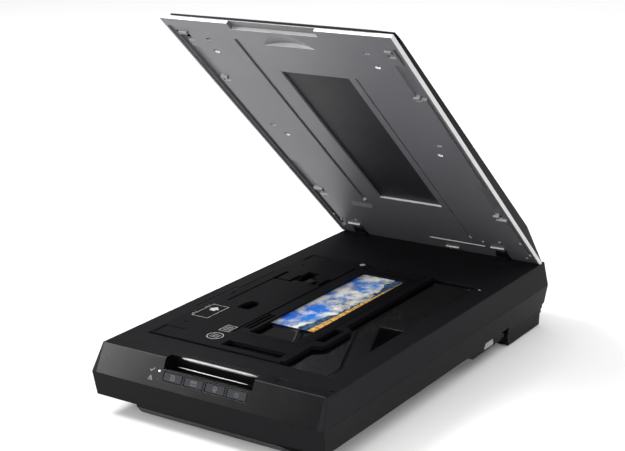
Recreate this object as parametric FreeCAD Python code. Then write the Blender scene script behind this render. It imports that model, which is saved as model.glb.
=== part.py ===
import FreeCAD
import Part
import math
import os

# Flatbed scanner with a light unit in its lid and a medium-format film holder on the glass.
# Millimetres. Origin on the table under the middle of the base, +X right seen from the front,
# +Y to the rear (hinge side), +Z up. The lid stands open at OPEN_DEG.

# ---- driving dimensions: base ------------------------------------------------------------
HALF_WIDTH = 140.0          # widest line of the base, at the crease
HALF_DEPTH = 242.5
CREASE_Z = 46.8             # parting line of the two case halves
TOP_Z = 75.0
TOP_HALF_WIDTH = 135.4
FRONT_TOP_Y = -228.4
REAR_TOP_Y = 240.0
LOW_Z = 21.2                # underside of the overhanging sides
LOW_HALF_WIDTH = 137.7
LOW_FRONT_Y = -238.5
SKIRT_Z = 15.2              # lower edge of the rear half of the sides
FLOOR_Z = 1.2               # underside of the pedestal
PEDESTAL_HALF_WIDTH = 99.0
BLOCK_FRONT_Y = 143.0       # rear block that holds the electronics
WALL = 2.5
FIT = 0.2                   # gap between neighbouring fixed pieces

# ---- glass and scan area -----------------------------------------------------------------
GLASS_X = (-113.0, 110.0)
GLASS_Y = (-185.0, 119.0)
GLASS_TOP = 72.4
GLASS_THICK = 3.0
GLASS_LAP = 5.0

# ---- control panel: x across, t up the slope from the crease, n out of the slope ---------
PANEL_X = (-134.0, 133.0)
PANEL_REAR_Y = -211.0
SLOPE = math.atan2(TOP_Z - CREASE_Z, FRONT_TOP_Y + HALF_DEPTH)
SLOPE_LENGTH = math.hypot(TOP_Z - CREASE_Z, FRONT_TOP_Y + HALF_DEPTH)
BUTTON_COUNT = 4
BUTTON_PITCH = 25.8
BUTTON_X0 = -39.5
BUTTON_HALF_WIDTH = 11.0
BUTTON_T = (9.2, 17.5)
KEY_FRAME_X = (-52.0, 50.2)
KEY_FRAME_T = (7.9, 18.9)
RECESS_X = (-53.0, 54.0)
RECESS_T = 20.2
RECESS_REAR_Y = -218.0
LED_POSITIONS = (("ready_light", -57.2, 17.2), ("error_light", -57.5, 8.6))

# ---- lid: s from the hinge end towards the free edge, h up from the rim's underside ------
OPEN_DEG = 42.4
LID_Z = 75.4                # rim's underside when the lid is closed
LID_REAR_Y = 231.5          # s = 0 when the lid is closed
LID_HALF_WIDTH = 136.0
LID_LENGTH = 464.0
LID_THICK = 43.0
RIM_HEIGHT = 4.8
RIM_BACK_S = 451.5          # the rim's inner face along the free edge
PANEL_H = 2.0               # underside panel, set in from the rim
COVER_HALF_WIDTH = 135.5
COVER_FRONT_S = 463.5
COVER_CORNER_R = 20.0
INNER_REAR_S = 9.0
PLATE_TOP_H = 6.5
HINGE_Y = 228.4
HINGE_Z = 83.4
HINGE_S = LID_REAR_Y - HINGE_Y
BARREL_R = 8.0
PIN_R = 2.5
PIN_HALF_LENGTH = 17.0
LEG_HALF = (7.0, 4.5)       # half width and half depth of the hinge legs' shafts
HINGE_X = (-108.0, 89.0)
POCKET_HALF = 9.4           # half width of the slots that the hinge legs stand in
WINDOW_X = (-32.0, 50.0)
WINDOW_S = (112.0, 379.0)

# ---- carriage and drive ------------------------------------------------------------------
CARRIAGE_Y = 158.0
CARRIAGE_HALF_DEPTH = 32.0
CARRIAGE_HALF_WIDTH = 108.0
CARRIAGE_Z = (28.0, 66.0)
ROD_Z = 17.0
ROD_R = 4.0
BELT_X = 40.0
BELT_Z = (11.0, 17.0)
PULLEY_R = 8.0
BELT_THICK = 1.5
PULLEY_Y = (-203.0, 209.0)

# ---- film holder --------------------------------------------------------------------------
HOLDER_X = (-112.0, 51.0)
HOLDER_Y = (-183.5, 118.0)
HOLDER_Z = (72.8, 76.7)
GATE_X = (-22.0, 34.7)
GATE_Y = (-132.7, 90.0)
COVER_X = (-36.0, 45.5)
COVER_Y = (-140.0, 99.0)
COVER_Z = (74.9, 76.9)
COVER_AXIS = (-37.2, 75.4)
SLOT_X = (-26.0, 45.5)      # slot that the light check before each scan looks through
SLOT_Y = (-175.5, -161.0)
GRIP_HOLE_X = (48.0, 59.6)  # hole beside the gate, for a fingertip under the cover's edge
GRIP_HOLE_Y = (-118.0, -79.0)
FILM_X = (-24.8, 37.2)
FILM_Y = (-93.0, 97.0)
FILM_THICK = 0.15

V = FreeCAD.Vector


# ---- geometry helpers -----------------------------------------------------------------------
def box(x0, x1, y0, y1, z0, z1):
    return Part.makeBox(x1 - x0, y1 - y0, z1 - z0, V(x0, y0, z0))


def rod(r, start, axis, length):
    return Part.makeCylinder(r, length, V(*start), V(*axis))


def prism(points, extrude):
    wire = Part.makePolygon(points + [points[0]])
    return Part.Face(wire).extrude(extrude)


def prism_x(points, x0, x1):
    return prism([V(x0, y, z) for y, z in points], V(x1 - x0, 0, 0))


def prism_y(points, y0, y1):
    return prism([V(x, y0, z) for x, z in points], V(0, y1 - y0, 0))


def prism_z(points, z0, z1):
    return prism([V(x, y, z0) for x, y in points], V(0, 0, z1 - z0))


def fuse(shapes):
    whole = shapes[0]
    for shape in shapes[1:]:
        whole = whole.fuse(shape)
    return whole.removeSplitter()


def cut(shape, tools):
    for tool in tools:
        shape = shape.cut(tool)
    return shape.removeSplitter()


def save(node, shape):
    shape.exportStep("parts/" + node + ".step")


def soften(shape, radius, wanted):
    """Rounds the straight edges that wanted picks by their two end points."""
    picked = []
    for edge in shape.Edges:
        ends = [vertex.Point for vertex in edge.Vertexes]
        if len(ends) == 2 and wanted(ends[0], ends[1]):
            picked.append(edge)
    return shape.makeFillet(radius, picked)


def on_panel(shape):
    """Takes a shape from panel coordinates (x, t, n) to its place on the sloping front."""
    shape.rotate(V(0, 0, 0), V(1, 0, 0), math.degrees(SLOPE))
    shape.translate(V(0, -HALF_DEPTH, CREASE_Z))
    return shape


def panel_box(x, t, n):
    return on_panel(box(x[0], x[1], t[0], t[1], n[0], n[1]))


def lid_box(x, s, h):
    return box(x[0], x[1], LID_REAR_Y - s[1], LID_REAR_Y - s[0], LID_Z + h[0], LID_Z + h[1])


def lid_point(x, s, h):
    return V(x, LID_REAR_Y - s, LID_Z + h)


def trim(shape, corners, inset=0.0):
    """Takes away what lies outside a plane of the lid, given by three points and moved in by inset."""
    first, second, third = [lid_point(*corner) for corner in corners]
    normal = (second - first).cross(third - first)
    normal.normalize()
    if normal.dot(first - lid_point(0, LID_LENGTH / 2, RIM_HEIGHT)) < 0:
        normal = normal * -1.0
    size = 900.0
    slab = box(-size, size, -size, size, 0, size)
    slab.Placement = FreeCAD.Placement(first - normal * inset, FreeCAD.Rotation(V(0, 0, 1), normal))
    return shape.cut(slab)


def save_lid(node, shape):
    """Lid pieces are drawn closed, then swung open about the hinge."""
    shape.rotate(V(0, HINGE_Y, HINGE_Z), V(-1, 0, 0), OPEN_DEG)
    save(node, shape)


def button_x(index):
    return BUTTON_X0 + index * BUTTON_PITCH


# ---- lower case -----------------------------------------------------------------------------
CASE_SCREWS = [(x, y) for x in (-126.0, 126.0) for y in (-196.0, 0.0, 196.0)]
SCREW_R = 1.4
SCREW_LENGTH = 14.0
SCREW_HEAD_R = 3.0
SCREW_HEAD_HIGH = 2.4
SCREW_SEAT_Z = 24.8         # where the case screws' heads bear, up inside their access holes
BOSS_JOINT_Z = 31.0         # the lower bosses meet the upper ones here
FOOT_PLACES = [(x, y) for x in (-84.0, 84.0) for y in (-196.0, 208.0)]
FOOT_R = 8.0
LOCK_POCKET_X = 133.0       # floor of the side pocket that holds the transport lock
LOCK_POCKET_Y = (124.4, BLOCK_FRONT_Y - 0.1)
LOCK_POCKET_TOP = 24.6
LABEL_X = 136.4             # sunk patch for the rating plate
LABEL_Y = (84.3, 105.7)
LABEL_Z = (16.6, 24.2)


def lower_outline(inset):
    """The tub's envelope from the pedestal up to the parting line, shrunk by inset."""
    top = CREASE_Z if inset == 0 else CREASE_Z + 1
    side_view = [
        (LOW_FRONT_Y + inset, LOW_Z + inset), (-HALF_DEPTH + inset, top),
        (HALF_DEPTH - inset, top), (236.5 - inset, 27.0), (231.0 - inset, 25.0),
        (230.5 - inset, LOW_Z + inset)]
    front_view = [
        (-LOW_HALF_WIDTH + inset, LOW_Z + inset - 6), (-HALF_WIDTH + inset, top),
        (HALF_WIDTH - inset, top), (LOW_HALF_WIDTH - inset, LOW_Z + inset - 6)]
    tub = prism_x(side_view, -HALF_WIDTH, HALF_WIDTH)
    tub = tub.common(prism_y(front_view, -HALF_DEPTH, HALF_DEPTH))
    if inset == 0:
        tub = soften(tub, 0.8, lambda a, b: abs(a.z - b.z) > 15)
    half = PEDESTAL_HALF_WIDTH - inset
    floor = FLOOR_Z + inset
    reach = LOW_Z + inset + 0.1
    pedestal = prism_x([(-237.8 + inset, reach), (-237.8 + inset, 18.5 + inset / 2),
                        (-215.0 + inset / 2, floor), (228.0 - inset, floor), (230.5 - inset, reach)],
                       -half, half)
    for side in (-1, 1):
        corner = [(side * (half + 1), -215.0 - 1), (side * 85.4, -239.5), (side * (half + 1), -239.5)]
        pedestal = pedestal.cut(prism_z(corner, 0, LOW_Z + 4))
    width = LOW_HALF_WIDTH - 0.6 - inset
    skirt = prism_x([(46.0 + inset, LOW_Z + inset + 0.1), (56.0 + inset, SKIRT_Z + inset),
                     (230.0 - inset, SKIRT_Z + inset), (230.5 - inset, LOW_Z + inset + 0.1)], -width, width)
    block = prism_x([(BLOCK_FRONT_Y + inset, SKIRT_Z + inset + 0.1), (BLOCK_FRONT_Y + 3 + inset, floor),
                     (228.0 - inset, floor), (229.8 - inset, SKIRT_Z + inset + 0.1)],
                    -width + 1, width - 1)
    return fuse([tub, pedestal, skirt, block])


def lower_case():
    case = lower_outline(0).cut(lower_outline(WALL))
    bosses = []
    for x, y in CASE_SCREWS:
        base = FLOOR_Z + 1 if y > BLOCK_FRONT_Y else LOW_Z + 1
        bosses.append(rod(4.8, (x, y, base), (0, 0, 1), BOSS_JOINT_Z - base))
    case = fuse([case] + bosses)
    cuts = [rod(1.7, (x, y, 0), (0, 0, 1), 40) for x, y in CASE_SCREWS]
    cuts += [rod(3.4, (x, y, -1), (0, 0, 1), SCREW_SEAT_Z + 1) for x, y in CASE_SCREWS]
    cuts += [rod(FOOT_R + FIT, (x, y, 0), (0, 0, 1), FLOOR_Z + 1.0) for x, y in FOOT_PLACES]
    cuts += [socket_cut() for socket_cut in (usb_opening, power_opening, option_opening)]
    for side in (-1, 1):
        near, far = sorted((side * LOCK_POCKET_X, side * HALF_WIDTH))
        cuts.append(box(near, far, LOCK_POCKET_Y[0], LOCK_POCKET_Y[1], SKIRT_Z - 1.0, LOCK_POCKET_TOP))
        near, far = sorted((side * LABEL_X, side * HALF_WIDTH))
        cuts.append(box(near, far, LABEL_Y[0] - 0.3, LABEL_Y[1] + 0.3, LABEL_Z[0] - 0.3, LABEL_Z[1] + 0.3))
    return cut(case, cuts)


USB_X = (-66.2, -53.8)
USB_Z = (6.0, 17.2)
USB_SHELL = 1.7
POWER_X = -90.0
POWER_Z = 12.0
POWER_R = 5.4
POWER_BORE_R = 3.2
POWER_PIN_R = 1.1
OPTION_X = (-38.2, -15.8)
OPTION_Z = (6.8, 16.2)
OPTION_WALL = 1.6
SOCKET_Y = (212.0, 228.6)   # from the board's edge to the rear wall
BEHIND_WALL = 235.0


def socket_box(x_span, z_span, y_span, inset):
    x0, x1 = x_span[0] + inset, x_span[1] - inset
    return box(x0, x1, y_span[0], y_span[1], z_span[0] + inset, z_span[1] - inset)


def usb_opening():
    return socket_box(USB_X, USB_Z, (220.0, BEHIND_WALL), -FIT)


def power_opening():
    return rod(POWER_R + FIT, (POWER_X, 220.0, POWER_Z), (0, 1, 0), BEHIND_WALL - 220.0)


def option_opening():
    return socket_box(OPTION_X, OPTION_Z, (220.0, BEHIND_WALL), -FIT)


def socket_bodies():
    usb = socket_box(USB_X, USB_Z, SOCKET_Y, 0)
    usb = cut(usb, [socket_box(USB_X, USB_Z, (215.0, BEHIND_WALL), USB_SHELL)])
    usb = fuse([usb, socket_box(USB_X, (7.8, 15.6), (214.5, 226.5), 2 * USB_SHELL)])
    block = box(POWER_X - 6, POWER_X + 6, 207.0, 214.0, POWER_Z - 6, POWER_Z + 6)
    power = fuse([rod(POWER_R, (POWER_X, 213.0, POWER_Z), (0, 1, 0), 15.4), block])
    power = cut(power, [rod(POWER_BORE_R, (POWER_X, 217.0, POWER_Z), (0, 1, 0), 14.0)])
    power = fuse([power, rod(POWER_PIN_R, (POWER_X, 216.0, POWER_Z), (0, 1, 0), 10.5)])
    option = socket_box(OPTION_X, OPTION_Z, SOCKET_Y, 0)
    option = cut(option, [socket_box(OPTION_X, OPTION_Z, (218.0, BEHIND_WALL), OPTION_WALL)])
    save("usb_socket", usb)
    save("power_inlet", power)
    save("lid_lamp_socket", option)


def feet():
    save("rubber_feet", Part.makeCompound(
        [rod(FOOT_R, (x, y, 0), (0, 0, 1), FLOOR_Z + 0.9) for x, y in FOOT_PLACES]))


def case_screws():
    screws = []
    for x, y in CASE_SCREWS:
        head = rod(SCREW_HEAD_R, (x, y, SCREW_SEAT_Z - SCREW_HEAD_HIGH), (0, 0, 1), SCREW_HEAD_HIGH)
        screws.append(fuse([head, rod(SCREW_R, (x, y, SCREW_SEAT_Z - 1), (0, 0, 1), SCREW_LENGTH)]))
    save("case_screws", Part.makeCompound(screws))


def side_labels():
    save("side_label", box(LABEL_X + 0.05, LABEL_X + 0.5, LABEL_Y[0], LABEL_Y[1], LABEL_Z[0], LABEL_Z[1]))


# ---- upper case -----------------------------------------------------------------------------
def upper_outline(inset):
    low = CREASE_Z + FIT if inset == 0 else CREASE_Z - 1
    side_view = [(-HALF_DEPTH + inset, low), (FRONT_TOP_Y + inset, TOP_Z - inset),
                 (REAR_TOP_Y - inset, TOP_Z - inset), (HALF_DEPTH - inset, low)]
    front_view = [(-HALF_WIDTH + inset, low), (-TOP_HALF_WIDTH + inset, TOP_Z - inset),
                  (TOP_HALF_WIDTH - inset, TOP_Z - inset), (HALF_WIDTH - inset, low)]
    body = prism_x(side_view, -HALF_WIDTH, HALF_WIDTH)
    return body.common(prism_y(front_view, -HALF_DEPTH, HALF_DEPTH))


def upper_case():
    outer = soften(upper_outline(0), 1.0, lambda a, b: max(a.z, b.z) > TOP_Z - 1)
    case = outer.cut(upper_outline(WALL))
    foot = BOSS_JOINT_Z + FIT
    bosses = [rod(4.0, (x, y, foot), (0, 0, 1), TOP_Z - foot - 1) for x, y in CASE_SCREWS]
    case = fuse([case] + bosses)
    cuts = [box(GLASS_X[0], GLASS_X[1], GLASS_Y[0], GLASS_Y[1], 60, 80)]
    cuts.append(box(PANEL_X[0] - FIT, PANEL_X[1] + FIT, -250, PANEL_REAR_Y + FIT, 40, 80))
    cuts += [rod(SCREW_R + 0.05, (x, y, foot - 1), (0, 0, 1), SCREW_LENGTH) for x, y in CASE_SCREWS]
    cuts += [leg_well(x, 60) for x in HINGE_X]
    for x, y0, y1 in ((-121.5, -95.0, -22.0), (-116.6, -22.0, 46.0)):
        cuts.append(box(x, x + 1.4, y0, y1, TOP_Z - 0.5, 80))
    for y in (-88.0, -48.0, -22.0):
        cuts.append(box(-121.5, -115.2, y, y + 1.4, TOP_Z - 0.5, 80))
    return cut(case, cuts)


def leg_well(x, low):
    """The square well that a hinge leg slides in, with 0.4 mm all round."""
    wide, deep = LEG_HALF[0] + 0.4, LEG_HALF[1] + 0.4
    return box(x - wide, x + wide, HINGE_Y - deep, HINGE_Y + deep, low, 80)


def hinge_sockets():
    """Guide tubes under the top's rear edge; each hinge leg slides up and down in one."""
    tubes = []
    for x in HINGE_X:
        tube = box(x - 10, x + 10, HINGE_Y - 7.4, HINGE_Y + 7.0, 33.5, TOP_Z - WALL - 0.1)
        tubes.append(cut(tube, [leg_well(x, 35.3)]))
    save("hinge_sockets", Part.makeCompound(tubes))


def document_glass():
    z0 = GLASS_TOP - GLASS_THICK
    save("document_glass", box(GLASS_X[0] - GLASS_LAP, GLASS_X[1] + GLASS_LAP,
                               GLASS_Y[0] - GLASS_LAP, GLASS_Y[1] + GLASS_LAP, z0, GLASS_TOP))
    rear = GLASS_Y[1] + GLASS_LAP
    save("calibration_strip", box(GLASS_X[0], GLASS_X[1], rear + 1, rear + 13, 71.6, 72.3))


def glass_retainers():
    """Two clips along the glass's long edges hold it up against the case's top."""
    strips = []
    for x0, x1 in ((-121.6, GLASS_X[0] - GLASS_LAP - 0.3), (GLASS_X[1] + GLASS_LAP + 0.3, 121.6)):
        strips.append(box(x0, x1, -180, 110, 70.5, 72.3))
    save("glass_retainers", Part.makeCompound(strips))


# ---- control panel --------------------------------------------------------------------------
def front_panel():
    thick = 2.4
    inner_crease = thick / math.sin(SLOPE)
    outline = [(-HALF_DEPTH + 0.1, CREASE_Z + FIT), (FRONT_TOP_Y, TOP_Z), (PANEL_REAR_Y, TOP_Z),
               (PANEL_REAR_Y, TOP_Z - thick), (FRONT_TOP_Y + thick * 0.7, TOP_Z - thick),
               (-HALF_DEPTH + 0.1 + inner_crease, CREASE_Z + FIT)]
    panel = prism_x(outline, PANEL_X[0], PANEL_X[1])
    panel = soften(panel, 1.0, lambda a, b: min(a.z, b.z) > TOP_Z - 0.1 and max(a.y, b.y) < FRONT_TOP_Y + 1)
    cuts = [panel_box(KEY_FRAME_X, KEY_FRAME_T, (-8, 3))]
    cuts.append(panel_box(RECESS_X, (RECESS_T, SLOPE_LENGTH + 9), (-7, 6)))
    cuts.append(box(RECESS_X[0], RECESS_X[1], -240, RECESS_REAR_Y, 68.6, 80))
    cuts += [on_panel(rod(1.05, (x, t, -5), (0, 0, 1), 8)) for _, x, t in LED_POSITIONS]
    cuts.append(box(72.0, 80.0, -223.5, -213.5, TOP_Z - 0.7, 80))
    return cut(panel, cuts)


def key_frame():
    """Dark surround of the four buttons, let into the panel from behind."""
    frame = panel_box((KEY_FRAME_X[0] + 0.1, KEY_FRAME_X[1] - 0.1),
                      (KEY_FRAME_T[0] + 0.1, KEY_FRAME_T[1] - 0.1), (-2.2, -0.25))
    holes = []
    for index in range(BUTTON_COUNT):
        x = button_x(index)
        holes.append(panel_box((x - BUTTON_HALF_WIDTH - 0.7, x + BUTTON_HALF_WIDTH + 0.7),
                               (BUTTON_T[0] - 0.6, BUTTON_T[1] + 0.6), (-5, 3)))
    return cut(frame, holes)


def on_cap_rim(edge):
    """True for the four edges round the face that the finger presses."""
    lift = [((p.Point.z - CREASE_Z) * math.cos(SLOPE) - (p.Point.y + HALF_DEPTH) * math.sin(SLOPE))
            for p in edge.Vertexes]
    return min(lift) > -0.1


def buttons():
    middle = sum(BUTTON_T) / 2
    for index in range(BUTTON_COUNT):
        x = button_x(index)
        cap = panel_box((x - BUTTON_HALF_WIDTH, x + BUTTON_HALF_WIDTH), BUTTON_T, (-3.0, 0.0))
        cap = cap.makeFillet(0.45, [edge for edge in cap.Edges if on_cap_rim(edge)])
        flange = panel_box((x - BUTTON_HALF_WIDTH - 1.2, x + BUTTON_HALF_WIDTH + 1.2),
                           (BUTTON_T[0] - 1.0, BUTTON_T[1] + 0.5), (-3.9, -2.9))
        stem = panel_box((x - 2.0, x + 2.0), (middle - 2.0, middle + 2.0), (-6.0, -3.8))
        save("button_" + str(index + 1), fuse([cap, flange, stem]))


def panel_board():
    board = panel_box((-70.0, 56.0), (3.6, 16.0), (-10.6, -9.0))
    save("panel_board", board)
    middle = sum(BUTTON_T) / 2
    switches = []
    for index in range(BUTTON_COUNT):
        x = button_x(index)
        can = panel_box((x - 3.0, x + 3.0), (middle - 2.6, middle + 2.4), (-9.0, -7.9))
        dome = panel_box((x - 1.5, x + 1.5), (middle - 1.5, middle + 1.5), (-8.0, -7.35))
        switches.append(fuse([can, dome]))
    save("button_switches", Part.makeCompound(switches))
    for name, x, t in LED_POSITIONS:
        save(name, on_panel(rod(0.9, (x, t, -7.0), (0, 0, 1), 7.05)))


def grip_recess():
    """Trough behind the panel's top edge, where fingers reach under the lid."""
    inner = [(-233.0, 64.9), (-226.0, 62.4), (-224.0, 58.8), (-219.0, 58.8), (-219.0, 62.4),
             (RECESS_REAR_Y, 62.9), (RECESS_REAR_Y, 72.4)]
    outer = [(-216.4, 72.4), (-216.4, 57.4), (-225.2, 57.4), (-226.8, 61.3), (-232.6, 63.6)]
    trough = prism_x(inner + outer, RECESS_X[0] - 1.6, RECESS_X[1] + 1.6)
    hollow = [(-233.0, 64.9), (-226.0, 62.4), (-224.0, 58.8), (RECESS_REAR_Y, 58.8),
              (RECESS_REAR_Y, 72.4), (-229.0, 72.4)]
    ends = []
    for x in (RECESS_X[0] - 1.6, RECESS_X[1]):
        ends.append(prism_x(hollow, x, x + 1.6))
    trough = fuse([trough] + ends)
    shave = panel_box((-60, 60), (RECESS_T - 4, SLOPE_LENGTH), (-2.9, 2))
    return cut(trough, [shave])


# ---- carriage and drive ---------------------------------------------------------------------
def carriage_box(x, y, z):
    return box(x[0], x[1], CARRIAGE_Y + y[0], CARRIAGE_Y + y[1], z[0], z[1])


def carriage_frame():
    half, deep = CARRIAGE_HALF_WIDTH, CARRIAGE_HALF_DEPTH
    low, high = CARRIAGE_Z
    frame = carriage_box((-half, half), (-deep, deep), (low, high))
    frame = cut(frame, [carriage_box((-half + 2, half - 2), (-deep + 2, deep - 2), (low + 2, high - 2)),
                        carriage_box((-half + 6, half - 6), (-16, -8), (high - 3, high + 1))])
    saddle = carriage_box((-10, 10), (-deep + 2, deep - 2), (ROD_Z - 8.5, low + 1))
    frame = fuse([frame, saddle])
    bore = rod(6.55, (0, CARRIAGE_Y - deep, ROD_Z), (0, 1, 0), 2 * deep)
    return cut(frame, [bore])


def carriage_parts():
    save("carriage_frame", carriage_frame())
    deep, half, high = CARRIAGE_HALF_DEPTH, CARRIAGE_HALF_WIDTH, CARRIAGE_Z[1]
    bushes = []
    for y in (CARRIAGE_Y - deep + 3, CARRIAGE_Y + deep - 13):
        ring = rod(6.5, (0, y, ROD_Z), (0, 1, 0), 10)
        bushes.append(ring.cut(rod(ROD_R + 0.06, (0, y - 1, ROD_Z), (0, 1, 0), 12)))
    save("carriage_bushes", Part.makeCompound(bushes))
    lamps = [carriage_box((-half + 8, half - 8), (y, y + 5), (high - 8, high - 2.2)) for y in (-24, -6)]
    save("scan_lamps", Part.makeCompound(lamps))
    mirrors = []
    for y, z, angle in ((-12, 37, 40), (14, 56, -38)):
        mirror = box(-half + 6, half - 6, -8, 8, -1, 1)
        mirror.rotate(V(0, 0, 0), V(1, 0, 0), angle)
        mirror.translate(V(0, CARRIAGE_Y + y, z))
        mirrors.append(mirror)
    save("scan_mirrors", Part.makeCompound(mirrors))
    lens = rod(6.0, (-30, CARRIAGE_Y - 3, 40), (0, 1, 0), 12)
    save("scan_lens", cut(lens, [rod(4.2, (-30, CARRIAGE_Y - 4, 40), (0, 1, 0), 3)]))
    save("sensor_board", carriage_box((-60, 30), (26, 27.6), (31.0, 60.0)))
    pads = [carriage_box((x - 6, x + 6), (y - 4, y + 4), (high, 69.1))
            for x in (-100, 100) for y in (-20, 22)]
    save("glide_pads", Part.makeCompound(pads))
    x = BELT_X - PULLEY_R - BELT_THICK / 2
    clip = box(x - 4, x + 4, CARRIAGE_Y - 9, CARRIAGE_Y + 9, BELT_Z[0] - 1.8, CARRIAGE_Z[0])
    slot = box(x - 1.1, x + 1.1, CARRIAGE_Y - 10, CARRIAGE_Y + 10, BELT_Z[0] - 0.4, BELT_Z[1] + 0.4)
    save("belt_clip", cut(clip, [slot]))


def guide_rod():
    y0, y1 = -208.0, 218.0
    save("guide_rod", rod(ROD_R, (0, y0, ROD_Z), (0, 1, 0), y1 - y0))
    clips = []
    for y in (y0, y1 - 8):
        clip = box(-9, 9, y, y + 8, FLOOR_Z + WALL + 0.05, ROD_Z + 7)
        clips.append(cut(clip, [rod(ROD_R + 0.03, (0, y - 1, ROD_Z), (0, 1, 0), 10)]))
    save("rod_clips", Part.makeCompound(clips))
    save("slide_rail", box(100.0, 105.0, -200, 200, LOW_Z + WALL + 0.05, CARRIAGE_Z[0] - 0.4))


def belt_drive():
    outer = PULLEY_R + BELT_THICK
    front, rear = PULLEY_Y

    def loop(r):
        band = box(BELT_X - r, BELT_X + r, front, rear, BELT_Z[0], BELT_Z[1])
        ends = [rod(r, (BELT_X, y, BELT_Z[0]), (0, 0, 1), BELT_Z[1] - BELT_Z[0]) for y in PULLEY_Y]
        return fuse([band] + ends)
    save("drive_belt", cut(loop(outer), [loop(PULLEY_R + 0.3)]))
    low, high = BELT_Z
    for name, y in (("idler_pulley", front), ("drive_pulley", rear)):
        drum = rod(PULLEY_R, (BELT_X, y, low), (0, 0, 1), high - low)
        flanges = [rod(PULLEY_R + 3, (BELT_X, y, z), (0, 0, 1), 1.0) for z in (low - 1.3, high + 0.3)]
        hub = rod(4.0, (BELT_X, y, low - 1.3), (0, 0, 1), high - low + 2.6)
        pulley = fuse([drum, hub] + flanges)
        save(name, cut(pulley, [rod(1.55, (BELT_X, y, 0), (0, 0, 1), 40)]))
    motor = rod(16.5, (BELT_X, rear, 22.2), (0, 0, 1), 20.0)
    save("carriage_motor", fuse([motor, rod(1.5, (BELT_X, rear, BELT_Z[0]), (0, 0, 1), 14)]))
    plate = box(BELT_X - 24, BELT_X + 24, rear - 17, rear + 15, 20.2, 22.1)
    legs = [box(BELT_X + x, BELT_X + x + 4, rear - 17, rear + 15, 3.75, 20.3) for x in (-24, 20)]
    save("motor_bracket", cut(fuse([plate] + legs), [rod(3, (BELT_X, rear, 0), (0, 0, 1), 30)]))
    base = box(BELT_X - 9, BELT_X + 9, front - 8, front + 20, 4.0, 7.5)
    save("belt_tensioner", fuse([base, rod(1.5, (BELT_X, front, 5), (0, 0, 1), 13.5)]))
    coil = [rod(2.6, (BELT_X - 14, front - 2 + 3 * i, 6.5), (0, 1, 0), 1.6) for i in range(7)]
    coil.append(rod(1.8, (BELT_X - 14, front - 2, 6.5), (0, 1, 0), 19.6))
    save("tension_spring", fuse(coil))


def main_board():
    board = box(-120.0, -13.0, 150.0, 221.0, 4.3, 5.9)
    save("main_board", board)
    chips = [box(x, x + w, y, y + d, 5.95, 5.95 + h) for x, y, w, d, h in (
        (-75, 170, 24, 24, 2.0), (-40, 165, 14, 20, 1.6), (-110, 160, 18, 10, 1.6), (-104, 190, 8, 8, 9.0))]
    save("board_chips", Part.makeCompound(chips))


def transport_lock():
    knob = box(133.4, 136.6, 126.0, 132.4, 16.2, 21.5)
    tongue = box(125.0, 133.5, 126.0, 132.4, 18.3, 20.0)
    save("transport_lock", fuse([knob, tongue]))


# ---- lid ------------------------------------------------------------------------------------
def barrel_end(half_width, h0, h1):
    """Rounded hinge end, concentric with the hinge so that it clears the base at any angle."""
    barrel = rod(BARREL_R, (-half_width, HINGE_Y, HINGE_Z), (1, 0, 0), 2 * half_width)
    return barrel.common(lid_box((-half_width, half_width), (-9, HINGE_S + 0.01), (h0, h1)))


def hinge_pockets():
    """Slots through the lid's hinge end, long enough for the legs at every lid angle."""
    return [lid_box((x - POCKET_HALF, x + POCKET_HALF), (-9, 13.0), (-1, 30.0)) for x in HINGE_X]


def cover_envelope(inset):
    """The lid's hipped shell, rounded at the two free corners: outer face, or inner one with an inset."""
    half = COVER_HALF_WIDTH - inset
    front = COVER_FRONT_S - inset
    rear = HINGE_S if inset == 0 else INNER_REAR_S
    low = RIM_HEIGHT if inset == 0 else 0
    body = lid_box((-half, half), (rear, front), (low, LID_THICK - inset))
    front_y = LID_REAR_Y - front
    body = soften(body, COVER_CORNER_R - inset,
                  lambda a, b: abs(a.z - b.z) > 10 and max(a.y, b.y) < front_y + 1)
    if inset == 0:
        body = fuse([body, barrel_end(half, low, 2 * BARREL_R)])
    slopes = [[(-half, COVER_FRONT_S, 6.6), (half, COVER_FRONT_S, 6.6), (0, 407.0, LID_THICK)],
              [(-half, HINGE_S, 2 * BARREL_R), (half, HINGE_S, 2 * BARREL_R), (0, 90.0, LID_THICK)]]
    for side in (-COVER_HALF_WIDTH, COVER_HALF_WIDTH):
        slopes.append([(side, 444.0, 10.0), (side, 65.0, 16.6), (side * 0.58, 250.0, LID_THICK)])
        slopes.append([(side, 2.0, 6.5), (side, 65.0, 16.6), (side * 0.86, 2.0, 17.0)])
    for slope in slopes:
        body = trim(body, slope, inset)
    return body


def lid_cover():
    cover = cover_envelope(0).cut(cover_envelope(WALL))
    bores = [rod(PIN_R + 0.02, (x - 20, HINGE_Y, HINGE_Z), (1, 0, 0), 40) for x in HINGE_X]
    return cut(cover, hinge_pockets() + bores)


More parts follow.
